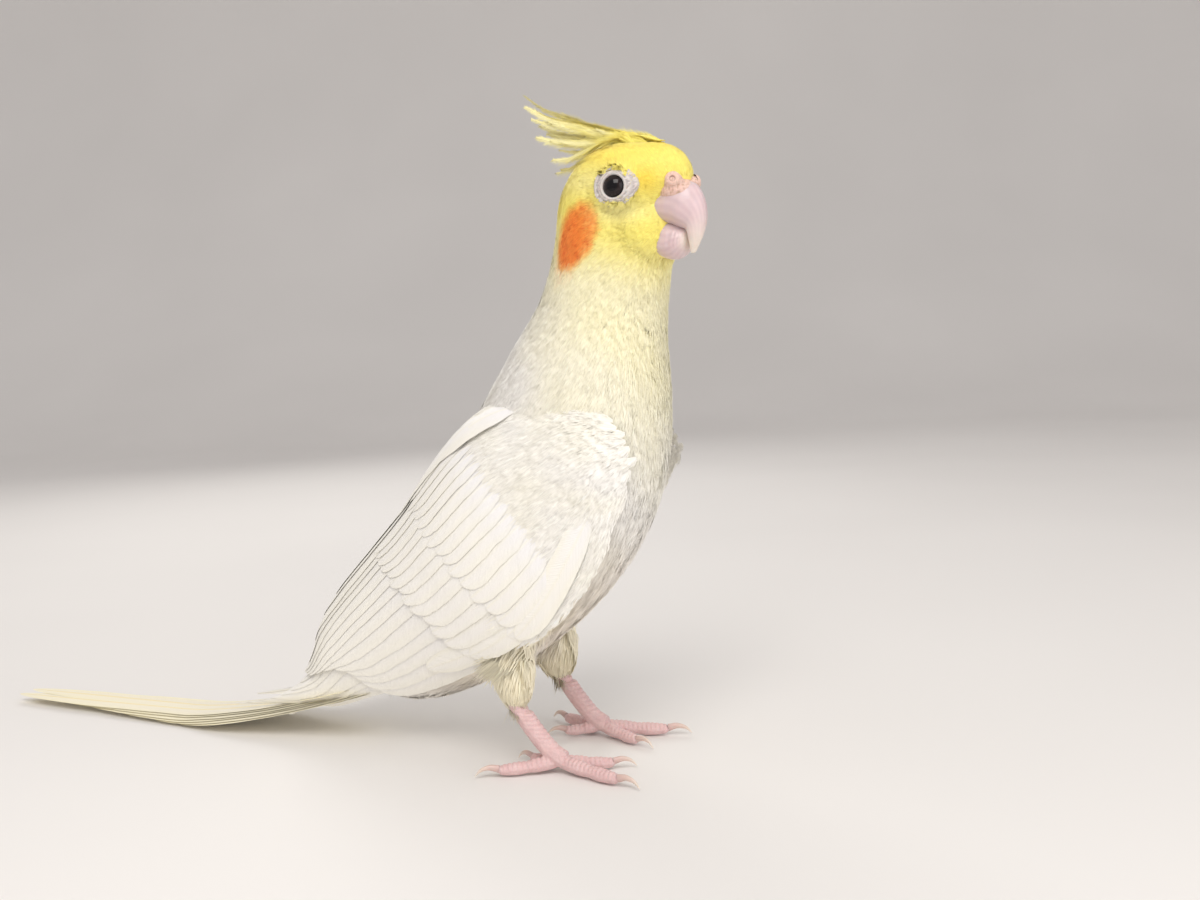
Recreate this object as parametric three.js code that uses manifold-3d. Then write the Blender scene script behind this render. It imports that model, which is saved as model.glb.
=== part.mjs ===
// A lutino cockatiel, life size, standing upright on the floor with its head turned a little to its right,
// its wings folded and its long tail laid out behind it. It is a still model for a display.
//
// Millimetres, +Z up. The bird faces +X, its left side is +Y, and the floor is the plane z = 0.
// The body, neck and head are one tube of rings that is parted into nodes by thin cuts. Wings, tail and crest
// carry their feathers as separate overlapping vanes, each rooted in its node.
import * as THREE from "three";
import { mergeVertices } from "three/addons/utils/BufferGeometryUtils.js";
import Module from "manifold-3d";

const wasm = await Module();
wasm.setup();

// Driving sizes.
const GAP = 0.3; // between nodes that touch
const HEAD_TURN = -18; // degrees about the neck, towards the bird's right
const NECK_PIVOT_X = 5;
const HEAD_CENTRE = new THREE.Vector3(12, 0, 145.8); // before the head is turned
const VANE_THICKNESS = 0.6;
const NECK_CUT_Z = 127; // head above, neck below
const BREAST_CUT = { z: 99, lean: 20 }; // neck above, torso below, the cut leaning back in degrees
const EYE = { x: 4.4, y: 10.4, z: 1, radius: 3.3, forward: 18, lid: 0.85 }; // from the head's centre
const FLOOR = 0;
const SLIVER = 0.008; // no triangle of a finished node is flatter than this

// Colours of the nodes.
const PLUMAGE_WHITE = 0xf3efe2;
const PLUMAGE_YELLOW = 0xf6e069;
const CREAM = 0xf0e6b8;
const SKIN_PINK = 0xe2b3ae;
const HORN_PINK = 0xdcc0c4;
const EYE_BLACK = 0x140d10;

const random = seededRandom(7);

function seededRandom(seed) {
  let state = seed;
  return () => {
    state = (state * 16807) % 2147483647;
    return state / 2147483647;
  };
}

const vary = (share) => 1 + share * (2 * random() - 1);
const mix = THREE.MathUtils.lerp;
const smooth = THREE.MathUtils.smoothstep;
const radians = THREE.MathUtils.degToRad;
const vec = (x, y, z) => new THREE.Vector3(x, y, z);

// Solids.

// A closed geometry as a manifold-3d solid, turned the right way out.
function solid(geometry) {
  const bare = geometry.clone();
  for (const name of ["normal", "uv"]) bare.deleteAttribute(name);
  const merged = mergeVertices(bare, 1e-4);
  const indices = Array.from(merged.index.array);
  const triangles = [];
  for (let i = 0; i < indices.length; i += 3) {
    const [a, b, c] = indices.slice(i, i + 3);
    if (a !== b && b !== c && c !== a) triangles.push(a, b, c);
  }
  const make = (list) =>
    new wasm.Manifold(
      new wasm.Mesh({
        numProp: 3,
        vertProperties: new Float32Array(merged.attributes.position.array),
        triVerts: new Uint32Array(list),
      }),
    );
  const made = make(triangles);
  if (made.volume() > 0) return made;
  const turned = [];
  for (let i = 0; i < triangles.length; i += 3)
    turned.push(triangles[i], triangles[i + 2], triangles[i + 1]);
  return make(turned);
}

function fuse(pieces) {
  return pieces.reduce((whole, piece) => whole.add(piece));
}

// The largest closed surface of a solid, so that loose scraps of a cut are dropped.
function largest(body) {
  return body
    .decompose()
    .reduce((best, each) => (each.volume() > best.volume() ? each : best));
}

// A body and copies of it moved by the gap, to be cut from a neighbour so that the two stay just apart.
function cleared(body, directions) {
  return fuse([body, ...directions.map((d) => body.translate(d.map((v) => v * (GAP + 0.05))))]);
}

// A cut body without the slivers along its seams: edges shorter than SLIVER are closed up, and the long side of a
// triangle flatter than that is turned to its neighbour's far corner.
function tidied(body) {
  const mesh = body.asOriginal().simplify(0.03).getMesh();
  const corners = [];
  for (let i = 0; i < mesh.numVert; i++)
    corners.push(vec(...mesh.vertProperties.slice(i * mesh.numProp, i * mesh.numProp + 3)));
  let faces = [];
  for (let i = 0; i < mesh.triVerts.length; i += 3) faces.push(Array.from(mesh.triVerts.slice(i, i + 3)));
  const gap = (a, b) => corners[a].distanceTo(corners[b]);
  for (let pass = 0; pass < 400; pass++) {
    const near = corners.map(() => new Set());
    const across = new Map();
    for (const face of faces)
      face.forEach((a, k) => {
        const b = face[(k + 1) % 3];
        near[a].add(b);
        near[b].add(a);
        across.set(a + "," + b, face);
      });
    let changed = false;
    for (const face of faces) {
      const sides = face.map((a, k) => [a, face[(k + 1) % 3], face[(k + 2) % 3]]);
      sides.sort((x, y) => gap(x[0], x[1]) - gap(y[0], y[1]));
      const [a, b] = sides[0];
      const shared = [...near[a]].filter((each) => near[b].has(each)).length;
      if (gap(a, b) < 2 * SLIVER && shared === 2) {
        faces = faces
          .map((each) => each.map((v) => (v === b ? a : v)))
          .filter(([u, v, w]) => u !== v && v !== w && w !== u);
        changed = true;
        break;
      }
      const [p, q, r] = sides[2];
      const area = corners[q].clone().sub(corners[p]).cross(corners[r].clone().sub(corners[p])).length();
      const other = across.get(q + "," + p);
      const w = other.find((v) => v !== p && v !== q);
      if (area / gap(p, q) < SLIVER && !near[r].has(w) && other !== face) {
        faces = faces.filter((each) => each !== face && each !== other);
        faces.push([p, w, r], [w, q, r]);
        changed = true;
        break;
      }
    }
    if (!changed) break;
  }
  // corners of different folds that all but meet are moved apart
  for (let i = 0; i < corners.length; i++)
    for (let j = 0; j < i; j++) if (gap(i, j) < SLIVER / 2) corners[i].z += SLIVER;
  const made = new wasm.Manifold(
    new wasm.Mesh({
      numProp: 3,
      vertProperties: new Float32Array(corners.flatMap((p) => p.toArray())),
      triVerts: new Uint32Array(faces.flat()),
    }),
  );
  return largest(made);
}

const group = new THREE.Group();
const placed = new Map();

function addNode(name, body, colour, roughness = 0.8) {
  const kept = tidied(largest(body));
  const mesh = kept.getMesh();
  const geometry = new THREE.BufferGeometry();
  const positions = new Float32Array(mesh.numVert * 3);
  for (let i = 0; i < mesh.numVert; i++)
    for (let k = 0; k < 3; k++)
      positions[i * 3 + k] = mesh.vertProperties[i * mesh.numProp + k];
  geometry.setAttribute("position", new THREE.BufferAttribute(positions, 3));
  geometry.setIndex(new THREE.BufferAttribute(new Uint32Array(mesh.triVerts), 1));
  geometry.computeVertexNormals();
  const material = new THREE.MeshStandardMaterial({ color: colour, roughness, metalness: 0 });
  const made = new THREE.Mesh(geometry, material);
  made.name = name;
  group.add(made);
  placed.set(name, kept);
  return kept;
}

// A sphere whose points are moved by shape(around, along), both 0 to 1, with its poles at along 0 and 1.
function moulded(shape, sides, rows) {
  const geometry = new THREE.SphereGeometry(1, sides, rows);
  const position = geometry.attributes.position;
  const uv = geometry.attributes.uv;
  for (let i = 0; i < position.count; i++) {
    const along = 1 - uv.getY(i);
    const pole = along < 1e-6 || along > 1 - 1e-6;
    const around = pole ? 0 : Math.round(uv.getX(i) * sides) % sides;
    const p = shape(around / sides, along);
    position.setXYZ(i, p.x, p.y, p.z);
  }
  return solid(geometry);
}

function ball(centre, radii, sides = 20, rows = 12) {
  return moulded(
    (around, along) => {
      const a = around * 2 * Math.PI;
      const b = along * Math.PI;
      return vec(
        centre.x + radii.x * Math.sin(b) * Math.cos(a),
        centre.y + radii.y * Math.sin(b) * Math.sin(a),
        centre.z + radii.z * Math.cos(b),
      );
    },
    sides,
    rows,
  );
}

// A round-ended limb along a curve. radius(t) gives [side to side, up and down], t from 0 to 1.
function limb(points, radius, sides = 10, rows = 10) {
  const curve = new THREE.CatmullRomCurve3(points, false, "centripetal");
  return moulded(
    (around, along) => {
      const t = along;
      const centre = curve.getPoint(t);
      const ahead = curve.getTangent(Math.min(Math.max(t, 0.001), 0.999));
      const side = vec(0, 0, 1).cross(ahead);
      if (side.length() < 0.2) side.set(0, 1, 0);
      side.normalize();
      const up = ahead.clone().cross(side).normalize();
      const round = Math.sqrt(Math.max(0, 1 - Math.pow(Math.abs(2 * t - 1), 10)));
      const [wide, tall] = radius(t);
      const a = around * 2 * Math.PI;
      return centre
        .addScaledVector(side, wide * round * Math.cos(a))
        .addScaledVector(up, tall * round * Math.sin(a));
    },
    sides,
    rows,
  );
}

// A thin closed blade: place(t, across) gives a point of its middle surface and the way out, t from root to tip
// and across -1 or 1. stations lists the values of t. Both faces are split into the same triangles.
function blade(place, stations, thickness) {
  const positions = [];
  const index = [];
  const layer = stations.length * 2;
  for (const sign of [1, -1])
    for (const t of stations)
      for (const across of [-1, 1]) {
        const { point, out } = place(t, across);
        const half = (thickness / 2) * (1 - 0.45 * t);
        const p = point.clone().addScaledVector(out, sign * half);
        positions.push(p.x, p.y, p.z);
      }
  const at = (face, i, j) => face * layer + i * 2 + j;
  const quad = (a, b, c, d) => index.push(a, b, c, a, c, d);
  const last = stations.length - 1;
  for (let i = 0; i < last; i++) {
    quad(at(0, i, 0), at(0, i + 1, 0), at(0, i + 1, 1), at(0, i, 1));
    const [a, b, c, d] = [at(1, i, 0), at(1, i + 1, 0), at(1, i + 1, 1), at(1, i, 1)];
    index.push(a, c, b, a, d, c);
    quad(at(1, i, 0), at(1, i + 1, 0), at(0, i + 1, 0), at(0, i, 0));
    quad(at(0, i, 1), at(0, i + 1, 1), at(1, i + 1, 1), at(1, i, 1));
  }
  quad(at(0, 0, 0), at(0, 0, 1), at(1, 0, 1), at(1, 0, 0));
  quad(at(1, last, 0), at(1, last, 1), at(0, last, 1), at(0, last, 0));
  const geometry = new THREE.BufferGeometry();
  geometry.setAttribute("position", new THREE.BufferAttribute(new Float32Array(positions), 3));
  geometry.setIndex(index);
  return solid(geometry);
}

// Values of t for a feather between a and b along an axis: whole steps of that axis, so that neighbours bend at
// the same places, and then three for its rounded tip.
function stationsBetween(a, b, step) {
  const inside = [];
  for (let at = Math.ceil(Math.min(a, b) / step) * step; at < Math.max(a, b); at += step) {
    const t = (at - a) / (b - a);
    if (t > 0.06 && t < 0.76) inside.push(t);
  }
  inside.sort((x, y) => x - y);
  return [0, ...inside, 0.8, 0.93, 1];
}

// Half the width of a feather at t, 1 at its widest: narrow at the quill, then even, with a rounded tip.
function featherWidth(t, tip = 0.3) {
  const root = mix(0.45, 1, smooth(t, 0, 0.3));
  const end = t < 1 - tip ? 1 : Math.sqrt(Math.max(0, 1 - ((t - 1 + tip) / tip) ** 2));
  return root * Math.max(end, 0.16);
}

// Body, neck and head: one tube of rings.

// Each ring goes round the body through a point on the front or belly and one on the back, both in the plane of
// symmetry, [x, z]. side is its half width, and egg narrows its front.
const RINGS = [
  { front: [-67, 12], back: [-70, 17], side: 4, egg: 0 },
  { front: [-59, 11.5], back: [-67, 24], side: 8.5, egg: 0 },
  { front: [-49, 13], back: [-61, 37], side: 13, egg: 0 },
  { front: [-32, 20], back: [-54, 51], side: 17.5, egg: 0 },
  { front: [-12.5, 32], back: [-47, 65], side: 21, egg: 0 },
  { front: [3, 46.8], back: [-40.5, 79], side: 23.3, egg: 0 },
  { front: [14, 64], back: [-34, 91.5], side: 24, egg: 0 },
  { front: [18.8, 81.6], back: [-27, 102], side: 22.6, egg: 0 },
  { front: [19.5, 98], back: [-21, 111.5], side: 20, egg: 0 },
  { front: [19.2, 110], back: [-15, 119.5], side: 17.5, egg: 0.02 },
  { front: [20, 119], back: [-11, 127.5], side: 16, egg: 0.08 },
  { front: [22, 127], back: [-8.5, 133.5], side: 15, egg: 0.16 },
  { front: [23.8, 134], back: [-7, 139.5], side: 14.6, egg: 0.2 },
  { front: [25.4, 141], back: [-6, 145.5], side: 14.3, egg: 0.25 },
  { front: [31.2, 148.2], back: [-3.6, 150.6], side: 13.5, egg: 0.3 },
  { front: [28.4, 155.2], back: [1.2, 156.2], side: 10.4, egg: 0.24 },
  { front: [21, 159], back: [8.5, 159.4], side: 5, egg: 0.1 },
];
const BODY_SIDES = 22;
const BODY_ROWS = 30;

// One ring's value between the listed ones, by a smooth curve through them.
function ringValue(read, at) {
  const curve = new THREE.SplineCurve(RINGS.map((ring, i) => new THREE.Vector2(i, read(ring))));
  return curve.getPoint(at / (RINGS.length - 1)).y;
}

// Turns a point with the head: not at all at the breast, fully above the jaw.
function turnWithHead(point, share = smooth(point.z, 108, 132)) {
  const angle = radians(HEAD_TURN) * share;
  const x = point.x - NECK_PIVOT_X;
  const turned = vec(
    NECK_PIVOT_X + x * Math.cos(angle) - point.y * Math.sin(angle),
    x * Math.sin(angle) + point.y * Math.cos(angle),
    point.z,
  );
  return turned;
}

// The whole body tube, its surface moved outwards by grow.
function bodyTube(grow, sides = BODY_SIDES, rows = BODY_ROWS) {
  return moulded(
    (around, along) => {
      const last = RINGS.length - 1;
      const at = along * last;
      const front = vec(ringValue((r) => r.front[0], at), 0, ringValue((r) => r.front[1], at));
      const back = vec(ringValue((r) => r.back[0], at), 0, ringValue((r) => r.back[1], at));
      const side = ringValue((r) => r.side, at);
      const egg = ringValue((r) => r.egg, at);
      const centre = front.clone().add(back).multiplyScalar(0.5);
      const ahead = front.clone().sub(back);
      const half = ahead.length() / 2 + grow;
      ahead.normalize();
      const a = around * 2 * Math.PI;
      const pole = along < 1e-6 || along > 1 - 1e-6 ? 0 : 1;
      const along_ring = half * Math.cos(a) * pole;
      const width = (side + grow) * Math.sin(a) * (1 - egg * Math.cos(a)) * pole;
      const end = along < 0.5 ? vec(-grow, 0, -grow / 2) : vec(0, 0, grow);
      const p = centre.addScaledVector(ahead, along_ring).add(vec(0, width, 0));
      if (!pole) p.add(end);
      return turnWithHead(p);
    },
    sides,
    rows,
  );
}

// A point given from the head's centre, in the turned head's place.
function onHead(x, y, z) {
  return turnWithHead(vec(HEAD_CENTRE.x + x, HEAD_CENTRE.y + y, HEAD_CENTRE.z + z), 1);
}

function slab(z, lean, thickness) {
  const size = 200;
  const geometry = new THREE.BoxGeometry(size, size, thickness);
  geometry.rotateY(radians(lean));
  geometry.translate(0, 0, z);
  return solid(geometry);
}

function box(low, high) {
  const geometry = new THREE.BoxGeometry(high.x - low.x, high.y - low.y, high.z - low.z);
  geometry.translate((low.x + high.x) / 2, (low.y + high.y) / 2, (low.z + high.z) / 2);
  return solid(geometry);
}

const body = bodyTube(0);
const bodyClear = bodyTube(GAP + 0.1);
const belowFloor = box(vec(-300, -100, -50), vec(100, 100, FLOOR));

// Eyes, lids, cere and bill.

// Two edges of each half of the bill seen from the side, [x, z] from the head's centre, and the half width.
const UPPER_BILL = [
  { ridge: [9.5, 0.5], edge: [8.5, -5.5], side: 4.6 },
  { ridge: [14.5, 1.9], edge: [11.6, -7.2], side: 5.3 },
  { ridge: [19.6, 1.3], edge: [14.2, -8.6], side: 5.2 },
  { ridge: [22.2, -2.6], edge: [16.3, -9.5], side: 4.5 },
  { ridge: [22.7, -7.2], edge: [18.1, -10.2], side: 3.4 },
  { ridge: [21.7, -11.4], edge: [18.4, -12.6], side: 2.1 },
  { ridge: [19.6, -15.4], edge: [18.6, -15.6], side: 0.7 },
];
const LOWER_BILL = [
  { ridge: [8.5, -8], edge: [8, -14.5], side: 4.2 },
  { ridge: [12, -8.4], edge: [11.4, -16.6], side: 4.9 },
  { ridge: [15, -9.4], edge: [14.4, -16.8], side: 4.3 },
  { ridge: [17.2, -10.6], edge: [17, -15], side: 2.8 },
  { ridge: [17.9, -11.4], edge: [17.9, -13], side: 1 },
];

// A horn between a ridge line and an edge line, wider towards its edge, moved outwards by grow.
function horn(stations, grow, sides, rows) {
  const curve = (read) => new THREE.SplineCurve(stations.map((each, i) => new THREE.Vector2(i, read(each))));
  const curves = [(e) => e.ridge[0], (e) => e.ridge[1], (e) => e.edge[0], (e) => e.edge[1], (e) => e.side].map(curve);
  return moulded(
    (around, along) => {
      const [rx, rz, ex, ez, side] = curves.map((each) => each.getPoint(along).y);
      const ridge = vec(rx, 0, rz);
      const edge = vec(ex, 0, ez);
      const centre = ridge.clone().add(edge).multiplyScalar(0.5);
      const up = ridge.clone().sub(edge);
      const half = up.length() / 2 + grow;
      up.normalize();
      const end = along < 1e-6 || along > 1 - 1e-6 ? 0 : 1;
      const a = around * 2 * Math.PI;
      const wide = (side + grow) * Math.sin(a) * (1 - 0.2 * Math.cos(a)) * end;
      const p = centre.addScaledVector(up, half * Math.cos(a) * end);
      return onHead(p.x, wide, p.z);
    },
    sides,
    rows,
  );
}

const upperBill = (grow = 0) => horn(UPPER_BILL, grow, 12, 12);
const lowerBill = (grow = 0) => horn(LOWER_BILL, grow, 10, 8);

// Cere: the soft swelling round the nostrils, above the bill.
function cere() {
  const mounds = [-1, 1].map((side) => ball(onHead(15.9, side * 3.7, 1.9), vec(3.2, 2.6, 2.9), 12, 8));
  const band = ball(onHead(15.6, 0, -0.6), vec(5.4, 5.4, 3.3), 14, 8);
  const nostrils = [-1, 1].map((side) =>
    limb([onHead(15.2, side * 3.4, 2.2), onHead(17.2, side * 8, 3.1)], () => [0.8, 0.8], 8, 4),
  );
  return fuse([...mounds, band]).subtract(fuse(nostrils));
}

// The way an eye looks: out to its side and a little forwards.
function eyeAxis(side) {
  const angle = radians(EYE.forward);
  return onHead(Math.sin(angle), side * Math.cos(angle), 0.04).sub(onHead(0, 0, 0)).normalize();
}

function eyeCentre(side) {
  return onHead(EYE.x, side * EYE.y, EYE.z);
}

// A raised ring of lids round each eye, on the head.
function eyelids(side) {
  const centre = eyeCentre(side).addScaledVector(eyeAxis(side), 1.9);
  const geometry = new THREE.TorusGeometry(EYE.radius + 0.2, EYE.lid, 6, 16);
  geometry.applyQuaternion(new THREE.Quaternion().setFromUnitVectors(vec(0, 0, 1), eyeAxis(side)));
  geometry.translate(centre.x, centre.y, centre.z);
  return solid(geometry);
}

function buildHead() {
  const r = EYE.radius;
  const sockets = [-1, 1].map((side) => ball(eyeCentre(side), vec(r + GAP, r + GAP, r + GAP), 14, 9));
  const bill = upperBill();
  const jaw = lowerBill().subtract(upperBill(GAP));
  const nose = cere();
  const neckSlab = slab(NECK_CUT_Z, 0, GAP);
  const breastSlab = slab(BREAST_CUT.z, BREAST_CUT.lean, GAP);
  const parts = body.subtract(neckSlab).subtract(breastSlab).decompose();
  parts.sort((a, b) => a.boundingBox().max[2] - b.boundingBox().max[2]);
  const [torso, neck, head] = parts;
  const skull = fuse([head, eyelids(-1), eyelids(1)]).subtract(fuse(sockets));
  const noseClear = nose.subtract(upperBill(GAP)).subtract(bodyClear);
  const billOut = bill.subtract(bodyClear);
  const jawOut = jaw.subtract(bodyClear);
  addNode("head", skull, PLUMAGE_YELLOW);
  addNode("neck", neck, CREAM);
  addNode("torso", torso, PLUMAGE_WHITE);
  addNode("cere", noseClear, SKIN_PINK, 0.6);
  addNode("bill_upper", billOut, HORN_PINK, 0.35);
  addNode("bill_lower", jawOut, HORN_PINK, 0.4);
  for (const [name, side] of [["eye_right", -1], ["eye_left", 1]])
    addNode(name, ball(eyeCentre(side), vec(r, r, r), 14, 9), EYE_BLACK, 0.08);
}

// Crest: long narrow feathers that lie back along the crown and curl up at their tips.

const CREST = [
  // root and tip from the head's centre, and how far the tip curls up
  { root: [9, 0.5, 12.4], tip: [-35, 0.5, 31], rise: 6.5, width: 1.9 },
  { root: [10, -1.4, 12.2], tip: [-33, -1.2, 27.5], rise: 5.5, width: 2.1 },
  { root: [8, 2, 12.2], tip: [-31, 2, 22.5], rise: 4.5, width: 2.1 },
  { root: [7, -2.6, 12], tip: [-28, -2.8, 18.5], rise: 3.2, width: 2.2 },
  { root: [6, 3.4, 11.8], tip: [-25.5, 3.6, 15.5], rise: 2.2, width: 2.2 },
  { root: [5, -4, 11.4], tip: [-21, -4.4, 11.6], rise: 1.2, width: 2.1 },
  { root: [3, 0.4, 12], tip: [-24, 0.2, 9], rise: 0.4, width: 2.2 },
];

function crestFeather(spec) {
  const [rx, ry, rz] = spec.root;
  const [tx, ty, tz] = spec.tip;
  const crown = 14.4;
  const path = new THREE.CatmullRomCurve3([
    vec(rx, ry, rz),
    vec(mix(rx, tx, 0.25), ry, crown),
    vec(mix(rx, tx, 0.55), mix(ry, ty, 0.6), Math.max(crown - 1.2, mix(rz, tz, 0.55) - spec.rise * 0.25)),
    vec(mix(rx, tx, 0.8), ty, mix(rz, tz, 0.8) - spec.rise * 0.3),
    vec(tx, ty, tz),
  ]);
  return blade(
    (t, across) => {
      const p = path.getPoint(t);
      const ahead = path.getTangent(t);
      const half = spec.width * featherWidth(t, 0.75) * (1 - 0.3 * t);
      const point = onHead(p.x, p.y + across * half, p.z - 0.25 * Math.abs(across) * half);
      const out = vec(ahead.z, 0, -ahead.x).normalize();
      if (out.z < 0) out.negate();
      return { point, out };
    },
    [0, 0.2, 0.4, 0.6, 0.8, 1],
    0.9,
  );
}

function buildCrest() {
  const plume = fuse(CREST.map(crestFeather));
  addNode("crest", plume.subtract(bodyClear), PLUMAGE_YELLOW);
}

// Wings. Seen from the side a folded wing has a length s from the wrist to the tip and a height q across it, up
// and back. Each section across the wing wraps from the middle of the back (share 0) round the side to the wing's
// lower edge (share 1).

const WRIST = vec(8, 0, 84);
const WING_TIP = vec(-120, 0, 7.5);
const WING_AHEAD = WING_TIP.clone().sub(WRIST).normalize();
const WING_UP = vec(WING_AHEAD.z, 0, -WING_AHEAD.x);
const WING_LENGTH = WING_TIP.distanceTo(WRIST);
const WING_SECTIONS = [
  // s, heights q of the upper edge, the widest place and the lower edge, and y at the widest and at the top
  { s: -8, top: 6, wide: -3, low: -12, y: 17.5, yTop: 14 },
  { s: 2, top: 19, wide: -3, low: -15, y: 23.2, yTop: 13 },
  { s: 14, top: 24, wide: -4, low: -22, y: 25.2, yTop: 12.5 },
  { s: 30, top: 26, wide: -5, low: -28, y: 26.4, yTop: 9.5 },
  { s: 46, top: 22.5, wide: -7, low: -30, y: 25.8, yTop: 6 },
  { s: 62, top: 17.6, wide: -8, low: -28, y: 22.6, yTop: 2.6 },
  { s: 78, top: 13.8, wide: -8, low: -25, y: 18.4, yTop: 1.6 },
  { s: 93, top: 10.2, wide: -8, low: -22.5, y: 14.6, yTop: 1.2 },
  { s: 106, top: 5.4, wide: -8, low: -19.5, y: 11.8, yTop: 1.2 },
  { s: 118, top: -3, wide: -9, low: -16, y: 9.6, yTop: 1.6 },
  { s: 132, top: -4, wide: -6.5, low: -9.5, y: 8.2, yTop: 3.5 },
  { s: 151, top: 1.5, wide: 0, low: -1.5, y: 6.6, yTop: 5 },
];
const WING_STEP = 20;
const SECTION_TOP = 88; // degrees round the section from its widest place to the upper edge
const SECTION_LOW = 36; // and to the lower edge

const wingCurves = Object.fromEntries(
  ["top", "wide", "low", "y", "yTop"].map((key) => [
    key,
    WING_SECTIONS.map((each) => [each.s, each[key]]),
  ]),
);

// A value between the listed ones, eased by a cubic through its neighbours.
function between(list, at) {
  let i = list.findIndex((each) => each[0] > at) - 1;
  if (i < -1 || i > list.length - 2) i = list.length - 2;
  i = Math.max(0, i);
  const [x0, y0] = list[i];
  const [x1, y1] = list[i + 1];
  const slope = (j) => {
    const a = list[Math.max(0, j - 1)];
    const b = list[Math.min(list.length - 1, j + 1)];
    return (b[1] - a[1]) / (b[0] - a[0]);
  };
  const h = x1 - x0;
  const t = THREE.MathUtils.clamp((at - x0) / h, 0, 1);
  const [m0, m1] = [slope(i) * h, slope(i + 1) * h];
  return (
    y0 * (2 * t ** 3 - 3 * t ** 2 + 1) +
    m0 * (t ** 3 - 2 * t ** 2 + t) +
    y1 * (3 * t ** 2 - 2 * t ** 3) +
    m1 * (t ** 3 - t ** 2)
  );
}

function wingSkin(s, share) {
  const read = (key) => between(wingCurves[key], s);
  const angle = radians(SECTION_TOP - share * (SECTION_TOP + SECTION_LOW));
  const [top, wide, low, y, yTop] = ["top", "wide", "low", "y", "yTop"].map(read);
  const reach = angle > 0 ? (top - wide) / Math.sin(radians(SECTION_TOP)) : (wide - low) / Math.sin(radians(SECTION_LOW));
  const q = wide + reach * Math.sin(angle);
  const depth = yTop + (y - yTop) * Math.cos(angle);
  const p = WRIST.clone().addScaledVector(WING_AHEAD, s).addScaledVector(WING_UP, q);
  p.y = depth;
  return p;
}

function wingPlace(side, s, share, lift = 0) {
  const p = wingSkin(s, share);
  const along = wingSkin(s + 0.5, share).sub(wingSkin(s - 0.5, share));
  const round = wingSkin(s, share + 0.01).sub(wingSkin(s, share - 0.01));
  const out = along.cross(round).normalize();
  if (out.y < -0.3 || (Math.abs(out.y) <= 0.3 && out.z < 0)) out.negate();
  p.addScaledVector(out, lift);
  p.y *= side;
  out.y *= side;
  return { point: p, out };
}

function sectionLength(s) {
  let length = 0;
  for (let i = 0; i < 12; i++) length += wingSkin(s, i / 12).distanceTo(wingSkin(s, (i + 1) / 12));
  return length;
}

// One vane of a wing. root and tip are [s, share]; bow bends the shaft sideways in millimetres, roof tilts the
// vane like a tile so that its lower edge stands over the next vane down.
function wingVane(side, { root, tip, width, lift, bow = 0, roof = 0.09, tipShare = 0.28, drop = 0.9 }) {
  return blade(
    (t, across) => {
      const half = width * featherWidth(t, tipShare) * 0.5;
      const s = mix(root[0], tip[0], t);
      const sideways = (across * half + bow * Math.sin(Math.PI * t)) / Math.max(9, sectionLength(s));
      const share = mix(root[1], tip[1], t) + sideways;
      const sunk = drop * (1 - smooth(t, 0, 0.35));
      return wingPlace(side, s, share, lift - sunk + roof * across * half);
    },
    stationsBetween(root[0], tip[0], WING_STEP),
    VANE_THICKNESS,
  );
}

// The fleshy front of the wing under its small feathers: a shallow shell along the outer face.
const SHELL = { s: 34, share: 0.56, reach: 42, shares: 0.46, thickness: 6 };

function wingShell(side) {
  return moulded(
    (around, along) => {
      const a = around * 2 * Math.PI;
      const reach = Math.sin(along * Math.PI) ** 0.85;
      const s = SHELL.s + SHELL.reach * reach * Math.cos(a) * (Math.cos(a) < 0 ? 0.93 : 1);
      const share = SHELL.share + SHELL.shares * reach * Math.sin(a) * (1 - 0.14 * Math.cos(a));
      const lift = along < 0.5 ? 0.5 - 1.1 * reach ** 4 : -SHELL.thickness * (1 - 0.85 * reach ** 3);
      return wingPlace(side, s, share, lift).point;
    },
    18,
    8,
  );
}

function wingTiers() {
  const tiers = [];
  const row = (count, make) => {
    for (let i = 0; i < count; i++) tiers.push(make(i, i / Math.max(1, count - 1)));
  };
  // primaries: the long stiff feathers that make the wing's point, the longest lowest
  row(5, (i, u) => ({
    root: [60, mix(0.93, 0.55, u)],
    tip: [mix(WING_LENGTH, WING_LENGTH - 27, u), mix(0.75, 0.3, u)],
    width: mix(8, 9, u),
    lift: -1.7 + 0.3 * i,
    bow: mix(2, 0, u),
    tipShare: 0.34,
  }));
  // secondaries: their ends step up the back of the wing
  row(6, (i, u) => ({
    root: [46, mix(0.9, 0.35, u)],
    tip: [mix(100, 119, smooth(u, 0, 0.9)) * vary(0.01), mix(0.93, 0.3, u)],
    width: 11.5,
    lift: -0.7 + 0.28 * i,
    bow: mix(1.5, 0, u),
  }));
  // tertials, nearest the back
  row(3, (i, u) => ({
    root: [40, mix(0.26, 0.1, u)],
    tip: [mix(117, 100, u), mix(0.2, 0.06, u)],
    width: 11,
    lift: 1 + 0.28 * i,
  }));
  // greater coverts
  row(6, (i, u) => ({
    root: [mix(34, 40, u), mix(0.88, 0.3, u)],
    tip: [mix(66, 76, u) * vary(0.02), mix(0.9, 0.28, u)],
    width: 10.5,
    lift: 0.4 + 0.2 * i,
  }));
  // primary coverts and the alula, along the wing's lower edge
  row(2, (i, u) => ({
    root: [mix(8, 26, u), mix(0.86, 0.9, u)],
    tip: [mix(50, 76, u), mix(0.96, 0.95, u)],
    width: 7,
    lift: 0.9 - 0.8 * i,
    bow: 1,
  }));
  // scapulars, which cover the join of wing and back
  row(3, (i, u) => ({
    root: [mix(14, 34, u), mix(0.2, 0.1, u)],
    tip: [mix(46, 72, u), mix(0.17, 0.1, u)],
    width: 11,
    lift: 1.7 + 0.1 * i,
  }));
  return tiers;
}

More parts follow.
